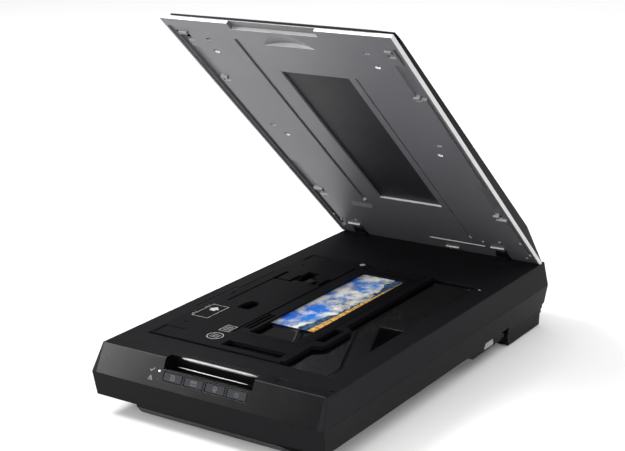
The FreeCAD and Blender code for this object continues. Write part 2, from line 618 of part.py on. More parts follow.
def tray_plate():
    rim = fuse([lid_box((-LID_HALF_WIDTH, LID_HALF_WIDTH), (HINGE_S, LID_LENGTH), (0, RIM_HEIGHT)),
                barrel_end(LID_HALF_WIDTH, 0, RIM_HEIGHT)])
    plate = lid_box((-132.5, 132.5), (9.5, 460.5), (1.0, PLATE_TOP_H)).common(cover_envelope(WALL + FIT))
    grip_back = lid_box((-36, 44), (422, 452), (PLATE_TOP_H - 1, 10.0))
    tray = cut(fuse([rim, plate, grip_back]), [lid_box((-133.2, 133.2), (-9, RIM_BACK_S), (-1, PANEL_H))])
    for x in HINGE_X:
        tray = tray.fuse(lid_box((x - 8.5, x + 8.5), (19.5, 24.5), (0.2, PANEL_H + 0.5)))
    tray = tray.fuse(lid_box((14.3, 31.7), (3.6, 5.4), (0.5, PANEL_H + 0.5)))
    ramp = [(LID_REAR_Y - 89.5, LID_Z + PANEL_H), (LID_REAR_Y - 80.0, LID_Z + PANEL_H - 1.0),
            (LID_REAR_Y - 80.0, LID_Z + PANEL_H + 0.5), (LID_REAR_Y - 89.5, LID_Z + PANEL_H + 0.5)]
    tray = tray.fuse(prism_x(ramp, -83.0, -54.0))
    return trim(tray, [(-100, LID_LENGTH, 2.9), (100, LID_LENGTH, 2.9), (0, LID_LENGTH - 1.0, RIM_HEIGHT)])


SCREW_PLACES = ((-97.5, 406.4), (95.5, 406.9), (-95.7, 241.6), (98.0, 240.8))
SLOT_PLACES = ((-94.3, 428.5), (93.2, 429.6), (-105.1, 259.9), (104.8, 261.2))
PEG_PLACES = ((-58.9, 98.6), (60.7, 41.3), (74.3, 34.8), (97.4, 40.6), (126.1, 47.0),
              (-128.3, 43.9), (-122.7, 32.2), (-98.9, 36.8), (121.8, 8.4))
CATCHES = ((-127, -116, 423, 440), (-121, -112, 348, 358), (-125, -112, 95, 113),
           (116, 124, 425, 438), (114, 121, 349, 357), (114, 121, 100, 112))


def lid_drill(r, x, s, h0, h1):
    return rod(r, (x, LID_REAR_Y - s, LID_Z + h0), (0, 0, 1), h1 - h0)


def lid_cone(x, s, r0, r1, h0, h1):
    return Part.makeCone(r0, r1, h1 - h0, lid_point(x, s, h0), V(0, 0, 1))


def grip_scoop():
    """Half-moon hollow by the free edge: deep and upright on the hinge side, running out forwards."""
    half_width, depth, reach, start = 31.0, 5.0, 21.5, 427.5
    radius = (half_width ** 2 + depth ** 2) / (2 * depth)
    tilt = math.degrees(math.atan2(depth, reach))
    barrel = rod(radius, (0, 0, 0), (0, 1, 0), 120)
    barrel.translate(V(4, -60, depth - radius))
    barrel.rotate(V(4, 0, depth), V(1, 0, 0), tilt)
    barrel.translate(V(0, LID_REAR_Y - start, LID_Z + PANEL_H))
    return barrel.common(lid_box((-40, 48), (start, start + 30), (0.5, 12)))


def lid_tray():
    cuts = hinge_pockets()
    x0, x1 = WINDOW_X
    s0, s1 = WINDOW_S
    cuts.append(lid_box((x0, x1), (s0, s1), (-1, 12)))
    cuts.append(lid_box((x0 - 3, x1 + 3), (s0 - 3, s1 + 3), (4.4, 12)))
    cuts.append(lid_box((-60.4, -55.6), (100.6, 433.5), (0, 4.6)))
    cuts.append(lid_box((57.6, 60.2), (42.4, 380.6), (0, 4.2)))
    cuts.append(lid_box((-130.5, -124.0), (16, 441), (0, 5.2)))
    cuts.append(lid_box((126.5, 130.5), (16, 441), (0, 5.2)))
    for first, last in ((352, 412), (100, 177)):
        cuts.append(lid_box((-130.5, -116), (first, last), (0, 5.2)))
        cuts.append(lid_box((116.5, 126.5), (first, min(last, 414)), (0, 5.2)))
    cuts.append(lid_box((-51, 51), (454, 470), (-1, 3.6)))
    cuts.append(lid_box((-2.6, 72.3), (21.0, 24.4), (0, PANEL_H + 1.2)))
    cuts += [lid_box((x - POCKET_HALF, x + POCKET_HALF), (12.0, 19.0), (-1, 5.6)) for x in HINGE_X]
    cuts.append(grip_scoop())
    for a, b, c, d in CATCHES:
        cuts.append(lid_box((a, b), (c, d), (0, 9)))
    for x, s in SCREW_PLACES:
        cuts.append(lid_drill(2.2, x, s, 0, 9))
        cuts.append(lid_cone(x, s, 3.4, 2.2, PANEL_H, PANEL_H + 1.3))
    for x, s in SLOT_PLACES:
        cuts.append(lid_box((x - 3.4, x + 3.4), (s - 1.8, s + 1.8), (0, 9)))
    cuts += [rod(PIN_R + 0.02, (x - 20, HINGE_Y, HINGE_Z), (1, 0, 0), 40) for x in HINGE_X]
    return cut(tray_plate(), cuts)


def lid_small_parts():
    hooks = []
    for a, b, c, d in CATCHES:
        hooks.append(lid_box((a + 0.3, b - 0.3), (d - 4.2, d - 0.3), (0.2, 6.4)))
    save_lid("mat_catches", Part.makeCompound(hooks))
    screws = []
    for x, s in SCREW_PLACES:
        head = lid_drill(2.0, x, s, 3.0, 4.8)
        screws.append(fuse([head, lid_drill(1.2, x, s, 4.5, 12.0)]))
    save_lid("lid_screws", Part.makeCompound(screws))
    pegs = [lid_cone(x, s, 1.0, 1.9, PANEL_H - 1.4, PANEL_H - 0.02) for x, s in PEG_PLACES]
    save_lid("lid_pegs", Part.makeCompound(pegs))
    x0, x1 = WINDOW_X
    s0, s1 = WINDOW_S
    save_lid("lamp_window", lid_box((x0 - 2.8, x1 + 2.8), (s0 - 2.8, s1 + 2.8), (4.5, 6.4)))
    save_lid("light_diffuser", lid_box((x0 - 2.8, x1 + 2.8), (s0 - 2.8, s1 + 2.8), (6.6, 8.2)))
    save_lid("light_guide", lid_box((x0 - 2.8, x1 + 2.8), (s0 - 2.8, s1 + 2.8), (8.3, 12.3)))
    save_lid("lid_led_bars", Part.makeCompound(
        [lid_box((x, x + 4), (s0, s1), (7.6, 13.0)) for x in (x0 - 8, x1 + 4)]))
    save_lid("lamp_driver_board", lid_box((-20, 40), (60, 98), (7.0, 8.6)))
    pins = [rod(PIN_R, (x - PIN_HALF_LENGTH, HINGE_Y, HINGE_Z), (1, 0, 0), 2 * PIN_HALF_LENGTH)
            for x in HINGE_X]
    save_lid("hinge_pins", Part.makeCompound(pins))


def hinge_legs():
    for side, x in zip(("left", "right"), HINGE_X):
        wide, deep = LEG_HALF
        shaft = box(x - wide, x + wide, HINGE_Y - deep, HINGE_Y + deep, 35.5, HINGE_Z)
        collar = box(x - 8.6, x + 8.6, HINGE_Y - 6.0, HINGE_Y + 6.0, TOP_Z + 0.05, TOP_Z + 1.4)
        knuckle = rod(7.0, (x - 8.0, HINGE_Y, HINGE_Z), (1, 0, 0), 16.0)
        leg = fuse([shaft, collar, knuckle])
        save("hinge_leg_" + side, cut(leg, [rod(PIN_R + 0.06, (x - 9, HINGE_Y, HINGE_Z), (1, 0, 0), 18)]))


# ---- film holder ----------------------------------------------------------------------------
def film_holder():
    (x0, x1), (y0, y1), (z0, z1) = HOLDER_X, HOLDER_Y, HOLDER_Z
    plate = box(x0, x1, y0, y1, z0, z1)
    rail = box(x1, x1 + 4, y0 + 3, y1, z0, z1 + 0.3)
    tab = prism_z([(x1, -134), (x1 + 13, -128), (x1 + 15, -122), (x1 + 15, -80), (x1 + 12, -72), (x1, -68)],
                  z0, z1 + 0.3)
    holder = fuse([plate, rail, tab])
    shallow, deep, through = z1 - 0.9, z1 - 2.9, z0 - 1
    up = z1 + 3
    cuts = [box(GATE_X[0], GATE_X[1], GATE_Y[0], GATE_Y[1], through, up)]
    front, rear = COVER_Y[0] - 0.4, COVER_Y[1] + 0.4
    cuts.append(box(COVER_X[0] - 0.4, COVER_X[1] + 0.4, front, rear, COVER_Z[0] - 0.15, up))
    cuts.append(box(COVER_AXIS[0] - 2.0, COVER_X[0], front, rear, shallow, up))
    for y in (COVER_Y[0] - 0.4, COVER_Y[1] - 6.0):
        cuts.append(box(COVER_AXIS[0] - 2.0, COVER_X[0], y, y + 6.4, COVER_AXIS[1] - 2, up))
    cuts.append(rod(0.88, (COVER_AXIS[0], COVER_Y[0] - 4.5, COVER_AXIS[1]), (0, 1, 0),
                    COVER_Y[1] - COVER_Y[0] + 9.0))
    cuts.append(box(FILM_X[0] - 0.3, FILM_X[1] + 0.3, FILM_Y[0] - 3, FILM_Y[1] + 1, z0 + 1.4, up))
    cuts.append(box(SLOT_X[0], SLOT_X[1], SLOT_Y[0], SLOT_Y[1], through, up))
    cuts += [box(-31, 48, y, y + 5.4, deep, up) for y in (101.2, 109.6)]
    cuts.append(box(GRIP_HOLE_X[0], GRIP_HOLE_X[1], GRIP_HOLE_Y[0], GRIP_HOLE_Y[1], through, up))
    bow = [(-78, -79), (-62, -79), (-61, -62), (-64, -55), (-69.5, -53), (-75, -55), (-78, -62)]
    cuts.append(prism_z(bow, through, up))
    cuts.append(prism_z([(-77, 28), (-56, 28), (-56, 46), (-62, 46), (-62, 62), (-77, 62)], through, up))
    cuts += finger_cut(-101, -76, 21, 29, 20, deep) + finger_cut(-52.5, -39.5, 25, 12, 22, deep)
    for y in (-159.0, y1 - 0.9):
        cuts += corner_cut(y, shallow)
    cuts.append(box(-100.6, -97.2, -66, 22, shallow, up))
    cuts += [rod(1.5, (x, y, through), (0, 0, 1), 8) for x, y in ((-97, -142), (-98, 79))]
    cuts.append(box(-113, -108.5, -48, -38, through, up))
    return cut(holder, cuts)


def finger_cut(x0, x1, y0, left_leg, right_leg, deep):
    """Slot round a spring finger: a bow at the front with a leg running back on either side."""
    up, width = HOLDER_Z[1] + 3, 4.4
    return [box(x0, x0 + width, y0, y0 + left_leg, deep, up), box(x0, x1, y0, y0 + width, deep, up),
            box(x1 - width, x1, y0, y0 + right_leg + width, deep, up)]


def corner_cut(y, floor):
    """L-shaped sunk stacking mark whose corner points to the rear left."""
    x, up = HOLDER_X[0] + 3.4, HOLDER_Z[1] + 3
    return [box(x, x + 5.4, y - 23, y, floor, up), box(x, x + 25, y - 5.4, y, floor, up)]


def film_cover():
    frame = box(COVER_X[0], COVER_X[1], COVER_Y[0], COVER_Y[1], COVER_Z[0], COVER_Z[1])
    frame = cut(frame, [box(GATE_X[0], GATE_X[1], GATE_Y[0], GATE_Y[1], 60, 90)])
    x, z = COVER_AXIS
    stubs = []
    for y0 in (COVER_Y[0] - 3.4, COVER_Y[1] - 6.0):
        stubs.append(rod(0.8, (x, y0, z), (0, 1, 0), 9.4))
    arms = [box(x, COVER_X[0] + 1, y, y + 5.5, z - 0.5, z + 0.7) for y in (COVER_Y[0], COVER_Y[1] - 5.5)]
    grooves = [box(x, x + 3.2, -125, -78, 60, 90) for x in (-34.6, -29.4)]
    return cut(fuse([frame] + stubs + arms), grooves)


# ---- build ----------------------------------------------------------------------------------
def main():
    os.makedirs("parts", exist_ok=True)
    save("lower_case", lower_case())
    socket_bodies()
    feet()
    case_screws()
    side_labels()
    save("upper_case", upper_case())
    hinge_sockets()
    document_glass()
    glass_retainers()
    save("front_panel", front_panel())
    save("key_frame", key_frame())
    buttons()
    panel_board()
    save("grip_recess", grip_recess())
    carriage_parts()
    guide_rod()
    belt_drive()
    main_board()
    transport_lock()
    save_lid("lid_cover", lid_cover())
    save_lid("lid_tray", lid_tray())
    lid_small_parts()
    hinge_legs()
    save("film_holder", film_holder())
    save("film_cover", film_cover())
    film_low = HOLDER_Z[0] + 1.45
    save("film_strip", box(FILM_X[0], FILM_X[1], FILM_Y[0], FILM_Y[1], film_low, film_low + FILM_THICK))


main()
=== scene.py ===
import math
import bpy
import bmesh
from mathutils import Matrix, Vector


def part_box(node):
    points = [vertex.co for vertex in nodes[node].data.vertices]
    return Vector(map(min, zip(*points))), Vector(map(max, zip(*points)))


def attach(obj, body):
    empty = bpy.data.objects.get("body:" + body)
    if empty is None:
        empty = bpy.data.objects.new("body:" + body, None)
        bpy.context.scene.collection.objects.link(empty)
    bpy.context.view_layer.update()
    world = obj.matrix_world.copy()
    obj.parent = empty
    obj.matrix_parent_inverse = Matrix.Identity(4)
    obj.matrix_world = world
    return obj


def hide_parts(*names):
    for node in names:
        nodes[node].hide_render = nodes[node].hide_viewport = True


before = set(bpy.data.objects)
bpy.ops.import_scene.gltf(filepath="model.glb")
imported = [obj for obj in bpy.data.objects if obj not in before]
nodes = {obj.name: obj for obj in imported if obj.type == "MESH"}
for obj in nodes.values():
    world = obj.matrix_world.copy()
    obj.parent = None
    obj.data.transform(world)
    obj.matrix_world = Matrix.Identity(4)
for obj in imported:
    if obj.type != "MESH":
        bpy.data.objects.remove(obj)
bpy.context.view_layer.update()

# ---------------------------------------------------------------------------------------------
# Studio. A pale paper floor, one soft box low at the front left with another above it, a weak one
# at the front right, a broad one overhead, and the camera off the right front corner.
# ---------------------------------------------------------------------------------------------
FLOOR_GREY = 0.93
CAMERA_PLACE = Vector((0.78638, -1.22347, 0.59203))
CAMERA_HEADING = math.radians(33.75)
CAMERA_DIP = math.radians(16.54)
CAMERA_ROLL = math.radians(-0.79)
CAMERA_LENS = 81.5
SKY_STRENGTH = 0.11


def studio_floor():
    sheet = bmesh.new()
    bmesh.ops.create_grid(sheet, x_segments=8, y_segments=8, size=7.0)
    mesh = bpy.data.meshes.new("floor")
    sheet.to_mesh(mesh)
    sheet.free()
    floor = bpy.data.objects.new("floor", mesh)
    bpy.context.scene.collection.objects.link(floor)
    paper = bpy.data.materials.new("floor_paper")
    paper.use_nodes = True
    shader = paper.node_tree.nodes["Principled BSDF"]
    shader.inputs["Base Color"].default_value = (FLOOR_GREY, FLOOR_GREY, FLOOR_GREY, 1)
    shader.inputs["Roughness"].default_value = 0.95
    shader.inputs["Specular IOR Level"].default_value = 0.1
    mesh.materials.append(paper)


def soft_box(name, place, aim, width, height, watts):
    lamp = bpy.data.lights.new(name, "AREA")
    lamp.shape = "RECTANGLE"
    lamp.size = width
    lamp.size_y = height
    lamp.energy = watts
    light = bpy.data.objects.new(name, lamp)
    light.location = place
    light.rotation_euler = (Vector(aim) - Vector(place)).to_track_quat("-Z", "Y").to_euler()
    bpy.context.scene.collection.objects.link(light)


def studio_camera():
    camera = bpy.data.cameras.new("camera")
    camera.sensor_width = 36.0
    camera.lens = CAMERA_LENS
    camera.clip_start = 0.05
    tripod = bpy.data.objects.new("camera", camera)
    forward = Vector((-math.sin(CAMERA_HEADING) * math.cos(CAMERA_DIP),
                      math.cos(CAMERA_HEADING) * math.cos(CAMERA_DIP), -math.sin(CAMERA_DIP)))
    right = Vector((math.cos(CAMERA_HEADING), math.sin(CAMERA_HEADING), 0))
    up = right.cross(forward)
    right, up = (right * math.cos(CAMERA_ROLL) + up * math.sin(CAMERA_ROLL),
                 up * math.cos(CAMERA_ROLL) - right * math.sin(CAMERA_ROLL))
    turn = Matrix((right, up, -forward)).transposed().to_4x4()
    tripod.matrix_world = Matrix.Translation(CAMERA_PLACE) @ turn
    bpy.context.scene.collection.objects.link(tripod)
    bpy.context.scene.camera = tripod


studio_floor()
soft_box("front_box", place=(-2.0, -1.45, 0.85), aim=(-0.1, -0.2, 0.1), width=0.8, height=0.6, watts=46)
soft_box("high_box", place=(-1.5, -0.75, 2.1), aim=(0, -0.1, 0.3), width=0.8, height=0.8, watts=34)
soft_box("right_box", place=(0.8, -0.7, 0.3), aim=(0.14, -0.12, 0.05), width=0.25, height=0.25,
         watts=5.0)
soft_box("top_box", place=(0.0, 1.6, 5.0), aim=(0, 1.6, 0.0), width=11.0, height=11.0, watts=560)
studio_camera()
sky = bpy.data.worlds.new("studio_sky")
sky.use_nodes = True
sky.node_tree.nodes["Background"].inputs["Color"].default_value = (1, 1, 1, 1)
sky.node_tree.nodes["Background"].inputs["Strength"].default_value = SKY_STRENGTH
bpy.context.scene.world = sky
bpy.context.scene.view_settings.view_transform = "Standard"

# ---------------------------------------------------------------------------------------------
# Case halves. Injection-moulded black ABS with a fine spark-eroded grain: a deep lower tub and an
# upper frame that meets it at the crease, held together by six screws from below.
# ---------------------------------------------------------------------------------------------
CASE_BLACK = (0.0024, 0.0022, 0.0029)


def finish_for(name):
    """A new material with its tree, its shader and the piece's own coordinates in metres."""
    material = bpy.data.materials.new(name)
    material.use_nodes = True
    tree = material.node_tree
    place = tree.nodes.new("ShaderNodeTexCoord").outputs["Object"]
    return material, tree, tree.nodes["Principled BSDF"], place


def speckle(tree, place, scale, detail=3.0, roughness=0.55, stretch=None):
    node = tree.nodes.new("ShaderNodeTexNoise")
    node.inputs["Scale"].default_value = scale
    node.inputs["Detail"].default_value = detail
    node.inputs["Roughness"].default_value = roughness
    if stretch is not None:
        mapping = tree.nodes.new("ShaderNodeMapping")
        mapping.inputs["Scale"].default_value = stretch
        tree.links.new(place, mapping.inputs["Vector"])
        place = mapping.outputs["Vector"]
    tree.links.new(place, node.inputs["Vector"])
    return node.outputs["Fac"]


def between(tree, value, low, high, out_low=0.0, out_high=1.0):
    node = tree.nodes.new("ShaderNodeMapRange")
    node.inputs["From Min"].default_value = low
    node.inputs["From Max"].default_value = high
    node.inputs["To Min"].default_value = out_low
    node.inputs["To Max"].default_value = out_high
    tree.links.new(value, node.inputs["Value"])
    return node.outputs["Result"]


def sum_up(tree, operation, first, second):
    node = tree.nodes.new("ShaderNodeMath")
    node.operation = operation
    for socket, value in zip(node.inputs, (first, second)):
        if isinstance(value, (int, float)):
            socket.default_value = value
        else:
            tree.links.new(value, socket)
    return node.outputs["Value"]


def mixed_colour(tree, factor, first, second):
    node = tree.nodes.new("ShaderNodeMix")
    node.data_type = "RGBA"
    colour_sockets = [socket for socket in node.inputs if socket.type == "RGBA"]
    for socket, colour in zip(colour_sockets, (first, second)):
        if isinstance(colour, tuple):
            socket.default_value = (*colour, 1.0)
        else:
            tree.links.new(colour, socket)
    tree.links.new(factor, node.inputs["Factor"])
    return [socket for socket in node.outputs if socket.type == "RGBA"][0]


def grained(tree, shader, height, strength, depth, edge_radius):
    """Breaks every sharp edge by edge_radius and lays the grain over it."""
    edge = tree.nodes.new("ShaderNodeBevel")
    edge.samples = 4
    edge.inputs["Radius"].default_value = edge_radius
    bump = tree.nodes.new("ShaderNodeBump")
    bump.inputs["Strength"].default_value = strength
    bump.inputs["Distance"].default_value = depth
    tree.links.new(height, bump.inputs["Height"])
    tree.links.new(edge.outputs["Normal"], bump.inputs["Normal"])
    tree.links.new(bump.outputs["Normal"], shader.inputs["Normal"])
    return edge.outputs["Normal"]


def edge_mask(tree, soft_normal):
    """One along rounded edges, where the rounded normal leaves the face's own normal."""
    own = tree.nodes.new("ShaderNodeNewGeometry").outputs["Normal"]
    dot = tree.nodes.new("ShaderNodeVectorMath")
    dot.operation = "DOT_PRODUCT"
    tree.links.new(soft_normal, dot.inputs[0])
    tree.links.new(own, dot.inputs[1])
    return between(tree, dot.outputs["Value"], 0.995, 0.86)


def moulded(name, colour, gloss, grain_scale=2600.0, grain=0.3, lift=1.5, edge_lift=1.8, shine=0.07):
    """Moulded plastic: grained skin, slow drift of tone, faint handling marks and a lighter colour
    along the rounded edges.
    """
    material, tree, shader, place = finish_for(name)
    skin = speckle(tree, place, grain_scale, 2.0, 0.6)
    drift = speckle(tree, place, 9.0)
    marks = speckle(tree, place, 70.0, 6.0, 0.7, (1.0, 0.35, 1.0))
    soft = grained(tree, shader, skin, grain, 0.00006, 0.00035)
    shader.inputs["Specular IOR Level"].default_value = shine
    lighter = tuple(min(1.0, part * lift) for part in colour)
    edge_lightened = tuple(min(1.0, part * edge_lift * lift) for part in colour)
    tone = mixed_colour(tree, between(tree, skin, 0.35, 0.7), colour, lighter)
    tone = mixed_colour(tree, between(tree, drift, 0.4, 0.7, 0.0, 0.4), tone, lighter)
    # Lighter colour along the rounded edges.
    tone = mixed_colour(tree, sum_up(tree, "MULTIPLY", edge_mask(tree, soft), 0.7), tone, edge_lightened)
    tree.links.new(tone, shader.inputs["Base Color"])
    dull = sum_up(tree, "ADD", between(tree, drift, 0.3, 0.7, gloss[0], gloss[1]),
                  between(tree, marks, 0.45, 0.8, 0.0, 0.025))
    tree.links.new(dull, shader.inputs["Roughness"])
    return material


def dress(material, *names):
    for name in names:
        for material_slot in nodes[name].material_slots:
            material_slot.material = material


case_plastic = moulded("case_plastic", CASE_BLACK, gloss=(0.38, 0.46))
dress(case_plastic, "lower_case")
# The upper case is a lighter copy of the case black: painted light for the light falling on its upper
# facets.
dress(moulded("painted_light_top_plastic", (0.0062, 0.006, 0.0072), gloss=(0.44, 0.52), grain_scale=1900.0,
              grain=0.4), "upper_case")
dress(moulded("glass_clip_rubber", (0.012, 0.012, 0.012), gloss=(0.7, 0.8), grain_scale=900.0,
              grain=0.5), "glass_retainers")

# ---------------------------------------------------------------------------------------------
# Feet and rating plate. Four rubber discs pressed into sockets in the floor of the tub, and a
# foil patch sunk into the right side, with faint printed rows and no letters.
# ---------------------------------------------------------------------------------------------
dress(moulded("foot_rubber", (0.02, 0.02, 0.02), gloss=(0.75, 0.85), grain_scale=1400.0, grain=0.6),
      "rubber_feet")


def plate_foil():
    material, tree, shader, place = finish_for("plate_foil")
    weave = speckle(tree, place, 1500.0, 2.0)
    across = tree.nodes.new("ShaderNodeSeparateXYZ")
    tree.links.new(place, across.inputs["Vector"])
    rows = sum_up(tree, "SINE", sum_up(tree, "MULTIPLY", across.outputs["Z"], 2600.0), 0.0)
    bars = sum_up(tree, "GREATER_THAN", rows, 0.55)
    broken = sum_up(tree, "GREATER_THAN", speckle(tree, place, 420.0, 1.0, 0.5, (1.0, 1.0, 0.05)), 0.47)
    print_mask = sum_up(tree, "MULTIPLY", sum_up(tree, "MULTIPLY", bars, broken), 0.35)
    paper = mixed_colour(tree, between(tree, weave, 0.3, 0.7), (0.30, 0.30, 0.31), (0.36, 0.36, 0.37))
    tree.links.new(mixed_colour(tree, print_mask, paper, (0.1, 0.1, 0.1)), shader.inputs["Base Color"])
    tree.links.new(between(tree, weave, 0.3, 0.7, 0.4, 0.5), shader.inputs["Roughness"])
    return material


dress(plate_foil(), "side_label")

# ---------------------------------------------------------------------------------------------
# Case screws. Six plated pan-head screws with a cross recess, deep in the access holes of the tub,
# cut into the upper case's bosses.
# ---------------------------------------------------------------------------------------------


def plated_metal(name, colour, rough):
    material, tree, shader, place = finish_for(name)
    brush = speckle(tree, place, 900.0, 4.0, 0.6, (1.0, 1.0, 0.1))
    stain = speckle(tree, place, 50.0, 4.0)
    darker = tuple(part * 0.75 for part in colour)
    tree.links.new(mixed_colour(tree, between(tree, stain, 0.35, 0.7), colour, darker),
                   shader.inputs["Base Color"])
    shader.inputs["Metallic"].default_value = 1.0
    tree.links.new(between(tree, brush, 0.3, 0.7, rough, rough + 0.12), shader.inputs["Roughness"])
    grained(tree, shader, brush, 0.15, 0.00003, 0.0002)
    return material


def named_input(tree, name, kind, value):
    socket = tree.interface.new_socket(name, in_out="INPUT", socket_type=kind)
    if value is not None:
        socket.default_value = value
    return socket.identifier


def stood_on_points(tree, get, shape, material):
    """Ends a nodes tree: the shape on every incoming point, turned, made real and painted."""
    new, link = tree.nodes.new, tree.links.new
    stand = new("GeometryNodeInstanceOnPoints")
    link(get["Geometry"], stand.inputs["Points"])
    link(shape, stand.inputs["Instance"])
    link(get["Turn"], stand.inputs["Rotation"])
    real = new("GeometryNodeRealizeInstances")
    link(stand.outputs["Instances"], real.inputs["Geometry"])
    paint = new("GeometryNodeSetMaterial")
    paint.inputs["Material"].default_value = material
    link(real.outputs["Geometry"], paint.inputs["Geometry"])
    link(paint.outputs["Geometry"], new("NodeGroupOutput").inputs["Geometry"])


def screw_tree(material):
    """Geometry nodes that stand one cross-recess screw on every point, head towards +Z."""
    tree = bpy.data.node_groups.new("cross_recess_screws", "GeometryNodeTree")
    tree.interface.new_socket("Geometry", in_out="INPUT", socket_type="NodeSocketGeometry")
    sizes = {name: named_input(tree, name, "NodeSocketFloat", 0.001)
             for name in ("Head Radius", "Head Height", "Shank Radius", "Shank Length", "Slot Width")}
    turn = named_input(tree, "Turn", "NodeSocketVector", (0.0, 0.0, 0.0))
    tree.interface.new_socket("Geometry", in_out="OUTPUT", socket_type="NodeSocketGeometry")
    get = tree.nodes.new("NodeGroupInput").outputs
    new, link = tree.nodes.new, tree.links.new

    def lifted(geometry, height_node):
        shift = new("GeometryNodeTransform")
        link(geometry, shift.inputs["Geometry"])
        vector = new("ShaderNodeCombineXYZ")
        link(height_node, vector.inputs["Z"])
        link(vector.outputs[0], shift.inputs["Translation"])
        return shift.outputs["Geometry"]

    def maths(operation, first, second):
        node = new("ShaderNodeMath")
        node.operation = operation
        for socket, value in zip(node.inputs, (first, second)):
            if isinstance(value, (int, float)):
                socket.default_value = value
            else:
                link(value, socket)
        return node.outputs[0]

    head = new("GeometryNodeMeshCylinder")
    head.inputs["Vertices"].default_value = 28
    link(get["Head Radius"], head.inputs["Radius"])
    link(get["Head Height"], head.inputs["Depth"])
    head_up = lifted(head.outputs["Mesh"], maths("MULTIPLY", get["Head Height"], 0.5))
    bars = []
    for long_side in ("X", "Y"):
        bar = new("GeometryNodeMeshCube")
        size = new("ShaderNodeCombineXYZ")
        slot_length = maths("MULTIPLY", get["Head Radius"], 1.15)
        for axis in ("X", "Y"):
            link(slot_length if axis == long_side else get["Slot Width"], size.inputs[axis])
        link(get["Head Height"], size.inputs["Z"])
        link(size.outputs[0], bar.inputs["Size"])
        bars.append(lifted(bar.outputs["Mesh"], get["Head Height"]))
    cutter = new("GeometryNodeMeshBoolean")
    cutter.operation = "DIFFERENCE"
    cutter.solver = "EXACT"
    link(head_up, cutter.inputs["Mesh 1"])
    for bar in bars:
        link(bar, cutter.inputs["Mesh 2"])
    shank = new("GeometryNodeMeshCylinder")
    shank.inputs["Vertices"].default_value = 20
    link(get["Shank Radius"], shank.inputs["Radius"])
    link(get["Shank Length"], shank.inputs["Depth"])
    shank_down = lifted(shank.outputs["Mesh"], maths("MULTIPLY", get["Shank Length"], -0.4999))
    both = new("GeometryNodeJoinGeometry")
    link(cutter.outputs["Mesh"], both.inputs["Geometry"])
    link(shank_down, both.inputs["Geometry"])
    stood_on_points(tree, get, both.outputs["Geometry"], material)
    return tree, {**sizes, "Turn": turn}


def grown(name, points, tree, values):
    """Runs a nodes tree on bare points and keeps the result as a plain mesh piece."""
    seed_mesh = bpy.data.meshes.new(name + "_points")
    seed_mesh.from_pydata([tuple(point) for point in points], [], [])
    seed = bpy.data.objects.new(name + "_points", seed_mesh)
    bpy.context.scene.collection.objects.link(seed)
    modifier = seed.modifiers.new("grow", "NODES")
    modifier.node_group = tree
    for identifier, value in values.items():
        modifier[identifier] = value
    evaluated = seed.evaluated_get(bpy.context.evaluated_depsgraph_get())
    mesh = bpy.data.meshes.new_from_object(evaluated)
    mesh.name = name
    bpy.data.objects.remove(seed)
    piece = bpy.data.objects.new(name, mesh)
    bpy.context.scene.collection.objects.link(piece)
    return piece


zinc = plated_metal("zinc_plate", (0.3, 0.3, 0.29), rough=0.3)
SCREWS, SCREW_SOCKETS = screw_tree(zinc)


def screws(name, points, head_radius, head_height, shank_radius, shank_length, turn):
    sizes = {"Head Radius": head_radius, "Head Height": head_height, "Shank Radius": shank_radius,
             "Shank Length": shank_length, "Slot Width": head_radius * 0.3, "Turn": turn}
    return grown(name, points, SCREWS, {SCREW_SOCKETS[key]: value for key, value in sizes.items()})


case_low, case_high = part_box("case_screws")
SCREW_HEAD_R, SCREW_HEAD_H = 0.003, 0.0024
case_rows = (case_low.y + SCREW_HEAD_R, 0.0, case_high.y - SCREW_HEAD_R)
case_places = [(x, y, case_low.z + SCREW_HEAD_H) for y in case_rows
               for x in (case_low.x + SCREW_HEAD_R, case_high.x - SCREW_HEAD_R)]
case_screws = screws("case_screws_cross", case_places, head_radius=SCREW_HEAD_R,
                     head_height=SCREW_HEAD_H, shank_radius=0.0014, shank_length=0.013,
                     turn=(math.pi, 0.0, 0.0))
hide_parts("case_screws")
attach(case_screws, "base")

# ---------------------------------------------------------------------------------------------
# Electronics. A green laminate board with packaged chips at the rear, a small key board behind the
# panel, and moulded or plated sockets that show in the back wall.
# ---------------------------------------------------------------------------------------------
socket_plastic = moulded("socket_plastic", (0.012, 0.012, 0.012), gloss=(0.42, 0.5), grain_scale=1500.0,
                         grain=0.2)
shell_plate = plated_metal("shell_plate", (0.7, 0.69, 0.66), rough=0.22)


def laminate():
    material, tree, shader, place = finish_for("laminate")
    split = tree.nodes.new("ShaderNodeSeparateXYZ")
    tree.links.new(place, split.inputs["Vector"])
    lines = sum_up(tree, "PINGPONG", sum_up(tree, "ADD", split.outputs["X"], split.outputs["Y"]),
                   0.0016)
    area = sum_up(tree, "GREATER_THAN", speckle(tree, place, 90.0, 0.0), 0.5)
    track = sum_up(tree, "MULTIPLY", sum_up(tree, "LESS_THAN", lines, 0.0005), area)
    cells = tree.nodes.new("ShaderNodeTexVoronoi")
    cells.inputs["Scale"].default_value = 260.0
    tree.links.new(place, cells.inputs["Vector"])
    pads = sum_up(tree, "LESS_THAN", cells.outputs["Distance"], 0.16)
    green = mixed_colour(tree, track, (0.006, 0.07, 0.03), (0.015, 0.13, 0.055))
    tree.links.new(mixed_colour(tree, pads, green, (0.45, 0.44, 0.4)), shader.inputs["Base Color"])
    tree.links.new(pads, shader.inputs["Metallic"])
    shader.inputs["Roughness"].default_value = 0.35
    grained(tree, shader, track, 0.3, 0.00005, 0.0001)
    return material


dress(laminate(), "main_board", "panel_board", "sensor_board", "lamp_driver_board", "lid_led_bars")
dress(moulded("chip_package", (0.01, 0.01, 0.011), gloss=(0.45, 0.55), grain_scale=3000.0, grain=0.4),
      "board_chips", "button_switches")
dress(socket_plastic, "power_inlet", "lid_lamp_socket")
dress(shell_plate, "usb_socket")

